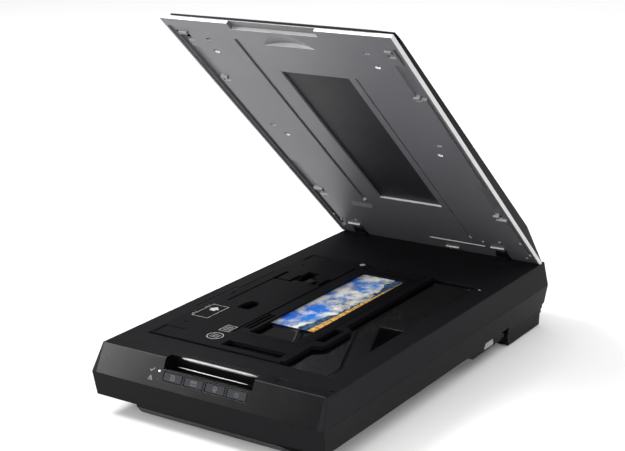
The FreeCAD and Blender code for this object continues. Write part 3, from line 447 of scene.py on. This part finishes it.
# ---------------------------------------------------------------------------------------------
# Carriage. A dark moulded trough on bronze bushes that carries two light tubes, folded mirrors, a
# lens barrel and the sensor board under the glass.
# ---------------------------------------------------------------------------------------------
inner_plastic = moulded("inner_plastic", (0.005, 0.005, 0.0055), gloss=(0.55, 0.65), grain_scale=1300.0,
                        grain=0.35)
dress(inner_plastic, "carriage_frame", "belt_clip", "rod_clips", "slide_rail", "belt_tensioner",
      "hinge_sockets", "scan_lens")


def opal(name, colour, glow):
    material, tree, shader, place = finish_for(name)
    cloud = speckle(tree, place, 120.0)
    deeper = tuple(part * 0.9 for part in colour)
    tree.links.new(mixed_colour(tree, cloud, colour, deeper), shader.inputs["Base Color"])
    tree.links.new(between(tree, cloud, 0.3, 0.7, 0.25, 0.35), shader.inputs["Roughness"])
    shader.inputs["Emission Color"].default_value = (*colour, 1.0)
    shader.inputs["Emission Strength"].default_value = glow
    return material


dress(opal("opal_acrylic", (0.6, 0.6, 0.58), glow=0.0), "light_diffuser", "light_guide",
      "calibration_strip")
dress(opal("lamp_tube", (0.12, 0.12, 0.12), glow=0.0), "scan_lamps")
dress(plated_metal("mirror_silver", (0.3, 0.3, 0.31), rough=0.06), "scan_mirrors")
dress(plated_metal("sintered_bronze", (0.3, 0.2, 0.1), rough=0.45), "carriage_bushes")
dress(moulded("acetal", (0.5, 0.5, 0.48), gloss=(0.35, 0.45), grain_scale=900.0, grain=0.1, lift=1.1,
              edge_lift=1.05),
      "drive_pulley", "idler_pulley", "glide_pads")

# ---------------------------------------------------------------------------------------------
# Belt drive. A ground steel rod, a motor on a folded bracket, a sprung tensioner and a toothed
# rubber belt whose teeth face inwards round both pulleys.
# ---------------------------------------------------------------------------------------------
dress(plated_metal("ground_steel", (0.6, 0.6, 0.61), rough=0.2), "guide_rod", "tension_spring")
dress(zinc, "motor_bracket", "carriage_motor", "hinge_pins")


def toothed_rubber():
    material, tree, shader, place = finish_for("belt_rubber")
    split = tree.nodes.new("ShaderNodeSeparateXYZ")
    tree.links.new(place, split.inputs["Vector"])
    tooth = sum_up(tree, "PINGPONG", split.outputs["Y"], 0.001)
    ridge = between(tree, tooth, 0.0, 0.001)
    dust = speckle(tree, place, 300.0)
    tree.links.new(mixed_colour(tree, dust, (0.008, 0.008, 0.008), (0.02, 0.02, 0.019)),
                   shader.inputs["Base Color"])
    tree.links.new(between(tree, dust, 0.3, 0.7, 0.65, 0.78), shader.inputs["Roughness"])
    grained(tree, shader, ridge, 1.0, 0.0004, 0.0001)
    return material


dress(toothed_rubber(), "drive_belt")

# ---------------------------------------------------------------------------------------------
# Document glass. A 3 mm float-glass plate that two clips hold up against the frame, with faint
# wipe marks on its top face and the dark well of the case under it.
# ---------------------------------------------------------------------------------------------


def float_glass():
    material, tree, shader, place = finish_for("float_glass")
    smudge = speckle(tree, place, 14.0, 6.0, 0.65, (1.0, 0.3, 1.0))
    shader.inputs["Base Color"].default_value = (0.22, 0.24, 0.24, 1)
    tree.links.new(between(tree, smudge, 0.4, 0.75, 0.015, 0.07), shader.inputs["Roughness"])
    shader.inputs["Transmission Weight"].default_value = 1.0
    shader.inputs["IOR"].default_value = 1.52
    return material


dress(float_glass(), "document_glass")

# ---------------------------------------------------------------------------------------------
# Front panel. Smoother black ABS clipped into the front of the frame. Its finger recess is a
# separate black trough whose back wall carries a satin metal lip and a thin bead whose pale metal is a
# painted highlight.
# ---------------------------------------------------------------------------------------------
panel_plastic = moulded("panel_plastic", (0.0010, 0.0009, 0.0015), gloss=(0.24, 0.3),
                        grain_scale=3200.0, grain=0.12, lift=1.4, edge_lift=1.8, shine=0.26)
dress(panel_plastic, "front_panel")
dress(moulded("trough_plastic", (0.002, 0.002, 0.002), gloss=(0.4, 0.5), grain_scale=2600.0, grain=0.2,
              lift=1.3, edge_lift=1.2), "grip_recess")


def shaped(name, body, material, sections):
    """A closed skin through rings of the same number of points, capped at both ends."""
    skin = bmesh.new()
    rings = [[skin.verts.new(point) for point in ring] for ring in sections]
    count = len(rings[0])
    for ring, following in zip(rings, rings[1:]):
        for i in range(count):
            j = (i + 1) % count
            skin.faces.new((ring[i], ring[j], following[j], following[i]))
    skin.faces.new(rings[0][::-1])
    skin.faces.new(rings[-1])
    return settled(skin, name, body, material)


def settled(skin, name, body, material, smooth=True):
    bmesh.ops.recalc_face_normals(skin, faces=skin.faces)
    mesh = bpy.data.meshes.new(name)
    skin.to_mesh(mesh)
    skin.free()
    if smooth:
        mesh.shade_smooth()
    mesh.materials.append(material)
    piece = bpy.data.objects.new(name, mesh)
    bpy.context.scene.collection.objects.link(piece)
    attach(piece, body)
    return piece


def wall_moulding(name, start, end, wall, height, radius_y, radius_z, material):
    """A half-round strip along X on a wall that faces the front, fading out at both ends."""
    arc_steps, length_steps, end_taper, thinnest = 12, 32, 8, 0.04
    around = [math.pi * (0.5 + i / arc_steps) for i in range(arc_steps + 1)]
    sections = []
    for i in range(length_steps + 1):
        along = i / length_steps
        fade = max(thinnest, min(1.0, end_taper * along, end_taper * (1 - along)) ** 0.5)
        x = start + (end - start) * along
        sections.append([(x, wall + radius_y * fade * math.cos(turn),
                          height + radius_z * fade * math.sin(turn))
                         for turn in around])
    return shaped(name, "base", material, sections)


satin_trim = plated_metal("satin_trim", (0.3, 0.3, 0.31), rough=0.42)
highlight_bead_metal = plated_metal("highlight_bead_metal", (0.6, 0.6, 0.6), rough=0.42)
RECESS_WALL = -0.21805
wall_moulding("recess_lip", start=-0.0425, end=0.0515, wall=RECESS_WALL, height=0.0731, radius_y=0.0022,
              radius_z=0.0018, material=satin_trim)
# The bead's pale metal, paler than the lip, is a painted highlight along it.
wall_moulding("recess_bead", start=-0.0500, end=0.0410, wall=RECESS_WALL, height=0.0625,
              radius_y=0.0009, radius_z=0.0006, material=highlight_bead_metal)

# ---------------------------------------------------------------------------------------------
# Status lights. Two moulded light pipes that end flush with the slope: the upper one lit white,
# the lower one dark, each with a printed symbol on its left.
# ---------------------------------------------------------------------------------------------
dress(opal("lit_pipe", (0.9, 0.9, 0.88), glow=1.6), "ready_light")
dress(moulded("dark_pipe", (0.05, 0.05, 0.05), gloss=(0.2, 0.3), grain_scale=900.0, grain=0.1),
      "error_light")
SLOPE_RISE, SLOPE_RUN = 0.0282, 0.0141
SLOPE = math.atan2(SLOPE_RISE, SLOPE_RUN)
SLOPE_U = Vector((1, 0, 0))
SLOPE_V = Vector((0, math.cos(SLOPE), math.sin(SLOPE)))
SLOPE_FOOT = Vector((0, -0.2425, 0.0468))
INK_HEIGHT = 0.00005


def ink(name, colour):
    material, tree, shader, place = finish_for(name)
    weave = speckle(tree, place, 4000.0, 2.0)
    thinner = tuple(part * 0.7 for part in colour)
    tree.links.new(mixed_colour(tree, between(tree, weave, 0.3, 0.7), colour, thinner),
                   shader.inputs["Base Color"])
    tree.links.new(between(tree, weave, 0.3, 0.7, 0.5, 0.6), shader.inputs["Roughness"])
    return material


def surface_top(name, normal):
    """How far the node's outermost face lies along normal."""
    return max(vertex.co.dot(normal) for vertex in nodes[name].data.vertices)


def ribbon(points, width, closed=False):
    """Left and right edges of a mitred stroke through the points."""
    left, right = [], []
    count = len(points)
    for i, point in enumerate(points):
        before = points[i - 1] if closed or i > 0 else None
        after = points[(i + 1) % count] if closed or i < count - 1 else None
        runs = [(b[0] - a[0], b[1] - a[1]) for a, b in ((before, point), (point, after)) if a and b]
        units = [(dx / math.hypot(dx, dy), dy / math.hypot(dx, dy)) for dx, dy in runs]
        sides = [(-dy, dx) for dx, dy in units]
        mitre = (sum(side[0] for side in sides) / len(sides),
                 sum(side[1] for side in sides) / len(sides))
        stretch = width / 2 / max(0.3, mitre[0] ** 2 + mitre[1] ** 2)
        left.append((point[0] + mitre[0] * stretch, point[1] + mitre[1] * stretch))
        right.append((point[0] - mitre[0] * stretch, point[1] - mitre[1] * stretch))
    return left, right


def circle(x, y, radius_x, radius_y, count=28):
    return [(x + radius_x * math.cos(math.tau * i / count),
             y + radius_y * math.sin(math.tau * i / count))
            for i in range(count)]


def printed(name, body, material, origin, across, up, strokes, patches=()):
    """Ink prisms on a surface. Strokes are (points, width, closed) and patches are outlines, in mm."""
    normal = across.cross(up)
    skin = bmesh.new()

    def place(point, height):
        flat = origin + across * (point[0] / 1000) + up * (point[1] / 1000)
        return skin.verts.new(flat + normal * height)

    for points, width, closed in strokes:
        left, right = ribbon(points, width, closed)
        lanes = [[place(point, height) for point in lane]
                 for lane, height in ((left, INK_HEIGHT), (right, INK_HEIGHT),
                                      (right, 0.0), (left, 0.0))]
        steps = len(points) if closed else len(points) - 1
        for i in range(steps):
            j = (i + 1) % len(points)
            for lane, beside in zip(lanes, lanes[1:] + lanes[:1]):
                skin.faces.new((lane[i], lane[j], beside[j], beside[i]))
        if not closed:
            skin.faces.new([lane[0] for lane in lanes])
            skin.faces.new([lane[-1] for lane in lanes])
    for outline in patches:
        top = [place(point, INK_HEIGHT) for point in outline]
        bottom = [place(point, 0.0) for point in outline]
        skin.faces.new(top)
        skin.faces.new(bottom[::-1])
        for i in range(len(top)):
            j = (i + 1) % len(top)
            skin.faces.new((bottom[i], bottom[j], top[j], top[i]))
    return settled(skin, name, body, material, smooth=False)


panel_ink = ink("panel_ink", (0.30, 0.30, 0.31))
slope_n = SLOPE_U.cross(SLOPE_V)
PANEL_SKIN = SLOPE_FOOT.dot(slope_n) + 0.00002


def on_slope(x, t, height):
    """A point on the slope's plane, x and t in mm, lifted to the wanted distance along its normal."""
    foot = SLOPE_FOOT + SLOPE_U * (x / 1000) + SLOPE_V * (t / 1000)
    return foot + slope_n * (height - foot.dot(slope_n))


tick = [(-2.6, 0.1), (-0.8, -1.7), (2.8, 1.9)]
triangle = [(-2.4, -1.7), (2.4, -1.7), (0.0, 2.2)]
printed("ready_symbol", "base", panel_ink, on_slope(-66.0, 17.2, PANEL_SKIN),
        SLOPE_U, SLOPE_V, [(tick, 0.6, False)])
printed("error_symbol", "base", panel_ink, on_slope(-66.0, 8.8, PANEL_SKIN),
        SLOPE_U, SLOPE_V, [(triangle, 0.5, True), ([(0.0, -0.6), (0.0, 0.9)], 0.5, False)])

# ---------------------------------------------------------------------------------------------
# Buttons. Four grey satin keys in one black surround, each sprung on its own switch and printed
# with a plain symbol. A thin raised edge runs round each key's opening.
# ---------------------------------------------------------------------------------------------
dress(moulded("surround_plastic", (0.0012, 0.0012, 0.0012), gloss=(0.6, 0.7), grain_scale=2400.0,
              grain=0.2, lift=1.2, edge_lift=1.2, shine=0.01), "key_frame")
dress(moulded("key_plastic", (0.026, 0.026, 0.03), gloss=(0.34, 0.42), grain_scale=3000.0, grain=0.12,
              lift=1.3, edge_lift=1.6),
      "button_1", "button_2", "button_3", "button_4")
BUTTON_X, BUTTON_PITCH, BUTTON_MID_T = -39.5, 25.8, 13.35
KEY_INK = ink("key_ink", (0.2, 0.2, 0.21))
BLUE_INK = ink("blue_ink", (0.09, 0.15, 0.19))
page = [(-2.0, -2.4), (2.0, -2.4), (2.0, 1.3), (0.9, 2.4), (-2.0, 2.4)]
envelope = [(-2.9, -2.0), (2.9, -2.0), (2.9, 2.0), (-2.9, 2.0)]
open_ring = [(-1.3, 1.6), (-2.1, 0.3), (-1.7, -1.4), (0.0, -2.2), (1.7, -1.4), (2.1, 0.3), (1.3, 1.6)]
key_signs = (
    ([(page, 0.35, True), ([(-1.0, 0.6), (1.0, 0.6)], 0.3, False),
      ([(-1.0, -0.8), (1.0, -0.8)], 0.3, False)], ()),
    ([(envelope, 0.35, True), ([(-2.6, 1.7), (0.0, -0.3), (2.6, 1.7)], 0.3, False)], ()),
    ([(circle(0, 0.3, 1.9, 1.9, 20), 0.35, True), ([(-1.4, -2.6), (1.4, -2.6)], 0.35, False),
      ([(0.0, -1.7), (0.0, 0.9)], 0.3, False)], ()),
    ([(open_ring, 0.45, False), ([(0.0, 0.2), (0.0, 2.5)], 0.45, False)], ()),
)
for number, (strokes, patches) in enumerate(key_signs, start=1):
    key = f"button_{number}"
    centre = on_slope(BUTTON_X + BUTTON_PITCH * (number - 1), BUTTON_MID_T, surface_top(key, slope_n))
    key_ink = BLUE_INK if number == 4 else KEY_INK
    printed(f"{key}_symbol", key, key_ink, centre, SLOPE_U, SLOPE_V, strokes, patches)


def edge_frames_tree(material):
    """Geometry nodes that lay one thin square-section frame flat round every point."""
    tree = bpy.data.node_groups.new("key_edges", "GeometryNodeTree")
    tree.interface.new_socket("Geometry", in_out="INPUT", socket_type="NodeSocketGeometry")
    sockets = {name: named_input(tree, name, "NodeSocketFloat", 0.001)
               for name in ("Width", "Height", "Section")}
    sockets["Turn"] = named_input(tree, "Turn", "NodeSocketVector", (0.0, 0.0, 0.0))
    tree.interface.new_socket("Geometry", in_out="OUTPUT", socket_type="NodeSocketGeometry")
    get = tree.nodes.new("NodeGroupInput").outputs
    new, link = tree.nodes.new, tree.links.new
    path = new("GeometryNodeCurvePrimitiveQuadrilateral")
    link(get["Width"], path.inputs["Width"])
    link(get["Height"], path.inputs["Height"])
    section = new("GeometryNodeCurvePrimitiveQuadrilateral")
    for side in ("Width", "Height"):
        link(get["Section"], section.inputs[side])
    sweep = new("GeometryNodeCurveToMesh")
    link(path.outputs["Curve"], sweep.inputs["Curve"])
    link(section.outputs["Curve"], sweep.inputs["Profile Curve"])
    stood_on_points(tree, get, sweep.outputs["Mesh"], material)
    return tree, sockets


surround_edge = moulded("surround_edge", (0.09, 0.09, 0.095), gloss=(0.35, 0.45), grain_scale=2400.0,
                        grain=0.1)
EDGES, EDGE_SOCKETS = edge_frames_tree(surround_edge)
surround_top = surface_top("key_frame", slope_n)
edge_places = [on_slope(BUTTON_X + BUTTON_PITCH * i, BUTTON_MID_T, surround_top)
               for i in range(len(key_signs))]
edge_values = {"Width": 0.0246, "Height": 0.0103, "Section": 0.00025, "Turn": (SLOPE, 0.0, 0.0)}
key_edges = grown("key_edges", edge_places, EDGES,
                  {EDGE_SOCKETS[key]: value for key, value in edge_values.items()})
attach(key_edges, "base")

# ---------------------------------------------------------------------------------------------
# Lid. A tray of ABS with a black cover behind it, coated matt silver-grey metallic all over. Its broad
# face is coloured dark grey as painted shade, and its rim's outer sides and the cut walls that face the
# free edge near-white as a painted highlight.
# ---------------------------------------------------------------------------------------------
LID_ANGLE = math.radians(42.4)
LID_AXIS = Vector((0, 0.2284, 0.0834))
LID_S = Vector((0, -math.cos(LID_ANGLE), math.sin(LID_ANGLE)))
LID_H = Vector((0, math.sin(LID_ANGLE), math.cos(LID_ANGLE)))
LID_S0, LID_H0 = 3.1, 8.0


def on_lid(x, s, h):
    """A point of the open lid, from mm across it, mm from its hinge edge and mm into it."""
    along, deep = LID_S * ((s - LID_S0) / 1000), LID_H * ((h - LID_H0) / 1000)
    return Vector((x / 1000, 0, 0)) + LID_AXIS + along + deep


def painted_highlight_mask(tree, place):
    """One where a highlight is painted: on walls that face the lid's free edge and on the rim's outer
    sides, zero elsewhere.
    """
    texture = tree.nodes.new("ShaderNodeTexCoord")
    towards = tree.nodes.new("ShaderNodeVectorMath")
    towards.operation = "DOT_PRODUCT"
    towards.inputs[1].default_value = LID_S
    tree.links.new(texture.outputs["Normal"], towards.inputs[0])
    split = tree.nodes.new("ShaderNodeSeparateXYZ")
    tree.links.new(place, split.inputs["Vector"])
    sides = between(tree, sum_up(tree, "ABSOLUTE", split.outputs["X"], 0.0), 0.1352, 0.1357)
    return sum_up(tree, "MAXIMUM", between(tree, towards.outputs["Value"], 0.04, 0.45), sides)


def flake_paint(name, colour, metallic, rough, edges=None):
    material, tree, shader, place = finish_for(name)
    flake = speckle(tree, place, 2400.0, 2.0, 0.6)
    drift = speckle(tree, place, 7.0)
    soft = grained(tree, shader, flake, 0.12, 0.00005, 0.0004)
    lighter = tuple(min(1.0, part * 1.15) for part in colour)
    edge_lightened_paint = tuple(min(1.0, part * 1.7) for part in colour)
    tone = mixed_colour(tree, between(tree, flake, 0.3, 0.7), colour, lighter)
    # Lighter colour along the rounded edges.
    tone = mixed_colour(tree, sum_up(tree, "MULTIPLY", edge_mask(tree, soft), 0.5), tone, edge_lightened_paint)
    if edges is not None:
        # Painted highlight: the edges colour on walls that face the free edge and on the rim's outer
        # sides.
        tone = mixed_colour(tree, painted_highlight_mask(tree, place), tone, edges)
    tree.links.new(tone, shader.inputs["Base Color"])
    shader.inputs["Metallic"].default_value = metallic
    tree.links.new(between(tree, drift, 0.3, 0.7, rough, rough + 0.07), shader.inputs["Roughness"])
    return material


# Painted shade and highlight: the dark grey base colour stands in for shade on the tray's broad face,
# and the near-white colour is a painted highlight.
dress(flake_paint("lid_paint", (0.112, 0.110, 0.119), metallic=0.35, rough=0.4,
                  edges=(0.62, 0.62, 0.62)), "lid_tray")
# The catches get the same painted highlight on their walls that face the free edge.
dress(flake_paint("catch_paint", (0.12, 0.12, 0.125), metallic=0.3, rough=0.4, edges=(0.5, 0.5, 0.5)),
      "mat_catches")
dress(flake_paint("peg_paint", (0.2, 0.2, 0.2), metallic=0.3, rough=0.3), "lid_pegs")
dress(case_plastic, "lid_cover", "hinge_leg_left", "hinge_leg_right", "transport_lock")

# ---------------------------------------------------------------------------------------------
# Lid lamp. A smoked acrylic window clipped into the tray, and behind it a diffuser, a light guide
# and two strips of small lamps.
# ---------------------------------------------------------------------------------------------


def smoked_acrylic():
    material, tree, shader, place = finish_for("smoked_acrylic")
    smudge = speckle(tree, place, 22.0, 5.0, 0.65)
    tree.links.new(mixed_colour(tree, smudge, (0.007, 0.0068, 0.0085), (0.010, 0.0098, 0.0118)),
                   shader.inputs["Base Color"])
    tree.links.new(between(tree, smudge, 0.4, 0.75, 0.5, 0.58), shader.inputs["Roughness"])
    shader.inputs["Specular IOR Level"].default_value = 0.3
    return material


dress(smoked_acrylic(), "lamp_window")

# ---------------------------------------------------------------------------------------------
# Lid screws. Four plated screws with a cross recess, countersunk into the tray from below.
# ---------------------------------------------------------------------------------------------
LID_SCREW_R, LID_SCREW_H, LID_SCREW_TOP = 0.0020, 0.0018, 0.0020
LID_SCREWS = ((-97.5, 406.4), (95.5, 406.9), (-95.7, 241.6), (98.0, 240.8))
lid_screw_top = surface_top("lid_screws", -LID_H) + on_lid(0, 0, 0).dot(LID_H)
lid_screw_places = [on_lid(x, s, 0) + LID_H * (LID_SCREW_TOP - lid_screw_top)
                    for x, s in LID_SCREWS]
lid_screws = screws("lid_screws_cross", lid_screw_places,
                    head_radius=LID_SCREW_R, head_height=LID_SCREW_H, shank_radius=0.0012,
                    shank_length=0.006, turn=(math.pi - LID_ANGLE, 0.0, 0.0))
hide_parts("lid_screws")
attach(lid_screws, "lid")

# ---------------------------------------------------------------------------------------------
# Film holder. A flat moulded frame that lies on the glass, with a hinged cover over the strip and
# white printed guides.
# ---------------------------------------------------------------------------------------------
dress(moulded("holder_plastic", (0.0035, 0.0033, 0.0042), gloss=(0.42, 0.5), grain_scale=2600.0,
              grain=0.3), "film_holder")
dress(moulded("cover_plastic", (0.003, 0.0028, 0.0036), gloss=(0.38, 0.46), grain_scale=2600.0,
              grain=0.25), "film_cover")
HOLDER_INK = ink("holder_ink", (0.62, 0.62, 0.6))
ACROSS, AWAY = Vector((1, 0, 0)), Vector((0, 1, 0))
holder_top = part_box("film_holder")[1].z


def on_holder(x, y):
    return Vector((x / 1000, y / 1000, holder_top))


strip = [(-10.2, -19.0), (10.2, -19.0), (10.2, 19.0), (-10.2, 19.0)]
arrow = [(-3.2, 2.0), (3.2, 2.0), (3.2, 6.0), (6.4, 6.0), (0.0, 13.0), (-6.4, 6.0), (-3.2, 6.0)]
notches = [([(-13.6, y), (-11.4, y)], 0.6, False) for y in (-14.0, -9.0, 9.0, 14.0)]
printed("strip_guide", "film_holder", HOLDER_INK, on_holder(-93.8, -104.0),
        ACROSS, AWAY, [(strip, 0.5, True)] + notches, [arrow])
oval = circle(0, 0, 8.6, 8.6)
oval_lines = [([(-5.4, y), (5.4, y)], 0.55, False) for y in (-3.2, 0.0, 3.2)]
printed("film_type_mark", "film_holder", HOLDER_INK, on_holder(-45.0, -160.0),
        ACROSS, AWAY, [(oval, 0.7, True)] + oval_lines)
box_mark = [(-6.0, -8.0), (6.0, -8.0), (6.0, 8.0), (-6.0, 8.0)]
box_lines = [([(-3.4, -4.0), (3.4, -4.0), (3.4, 4.0), (-3.4, 4.0)], 0.5, True),
             ([(0.0, -4.0), (0.0, 4.0)], 0.5, False)]
printed("frame_mark", "film_holder", HOLDER_INK, on_holder(-46.0, -136.5),
        ACROSS, AWAY, [(box_mark, 0.55, True)] + box_lines)
printed("rear_mark", "film_holder", HOLDER_INK, on_holder(-38.0, 114.0),
        ACROSS, AWAY, [(circle(0, 0, 2.8, 3.0, 16), 0.9, True)],
        [[(-1.3, -1.3), (1.3, -1.3), (1.3, 1.3), (-1.3, 1.3)]])
frame_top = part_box("upper_case")[1].z
printed("corner_arrow", "base", HOLDER_INK, Vector((0.117, 0.110, frame_top)),
        ACROSS, AWAY, [], [[(-1.6, -1.6), (1.6, 0.0), (-1.6, 1.6)]])

# ---------------------------------------------------------------------------------------------
# Film strip. Developed colour film with one wide mountain landscape on it: sky, cloud, a dark
# ridge and a dry meadow, drawn from noise, with clear edges at both ends.
# ---------------------------------------------------------------------------------------------
PICTURE_X = (-0.022, 0.036)
PICTURE_Y = (-0.082, 0.089)


def landscape_film():
    material, tree, shader, place = finish_for("landscape_film")
    split = tree.nodes.new("ShaderNodeSeparateXYZ")
    tree.links.new(place, split.inputs["Vector"])
    high = between(tree, split.outputs["X"], PICTURE_X[1], PICTURE_X[0])
    along = between(tree, split.outputs["Y"], PICTURE_Y[0], PICTURE_Y[1])
    stretched = speckle(tree, place, 17.0, 8.0, 0.5, (1.2, 0.6, 1.0))
    puffs = speckle(tree, place, 55.0, 9.0, 0.6, (1.3, 1.0, 1.0))
    cloud = sum_up(tree, "ADD", sum_up(tree, "MULTIPLY", stretched, 0.75),
                   sum_up(tree, "MULTIPLY", puffs, 0.3))
    sky = mixed_colour(tree, high, (0.03, 0.28, 0.75), (0.004, 0.07, 0.42))
    fleece = mixed_colour(tree, between(tree, puffs, 0.36, 0.62), (0.12, 0.13, 0.145),
                          (0.72, 0.72, 0.71))
    fleece = mixed_colour(tree, between(tree, high, 0.5, 1.0, 0.0, 0.65), fleece, (0.15, 0.17, 0.19))
    scene = mixed_colour(tree, between(tree, cloud, 0.40, 0.47), sky, fleece)
    jag = speckle(tree, place, 80.0, 8.0, 0.6, (0.0, 1.0, 1.0))
    peaks = speckle(tree, place, 22.0, 2.0, 0.5, (0.0, 1.0, 1.0))
    ridge = sum_up(tree, "ADD", between(tree, peaks, 0.3, 0.7, 0.02, 0.4),
                   sum_up(tree, "MULTIPLY", jag, 0.14))
    rock = mixed_colour(tree, between(tree, speckle(tree, place, 190.0, 8.0, 0.7), 0.4, 0.62),
                        (0.004, 0.014, 0.04), (0.05, 0.12, 0.22))
    scene = mixed_colour(tree, sum_up(tree, "LESS_THAN", high, ridge), scene, rock)
    stalks = speckle(tree, place, 420.0, 6.0, 0.7, (0.4, 1.0, 1.0))
    straw = mixed_colour(tree, between(tree, stalks, 0.38, 0.62),
                         (0.16, 0.07, 0.012), (0.85, 0.5, 0.12))
    meadow = sum_up(tree, "ADD", between(tree, along, 0.0, 1.0, 0.16, 0.03),
                    sum_up(tree, "MULTIPLY", jag, 0.12))
    scene = mixed_colour(tree, sum_up(tree, "LESS_THAN", high, meadow), scene, straw)
    tree.links.new(scene, shader.inputs["Base Color"])
    # The picture also feeds Emission Color, so the film glows faintly: painted light, as the film is no
    # lamp.
    tree.links.new(scene, shader.inputs["Emission Color"])
    shader.inputs["Emission Strength"].default_value = 0.25
    tree.links.new(between(tree, speckle(tree, place, 60.0), 0.3, 0.7, 0.2, 0.28),
                   shader.inputs["Roughness"])
    return material


dress(landscape_film(), "film_strip")
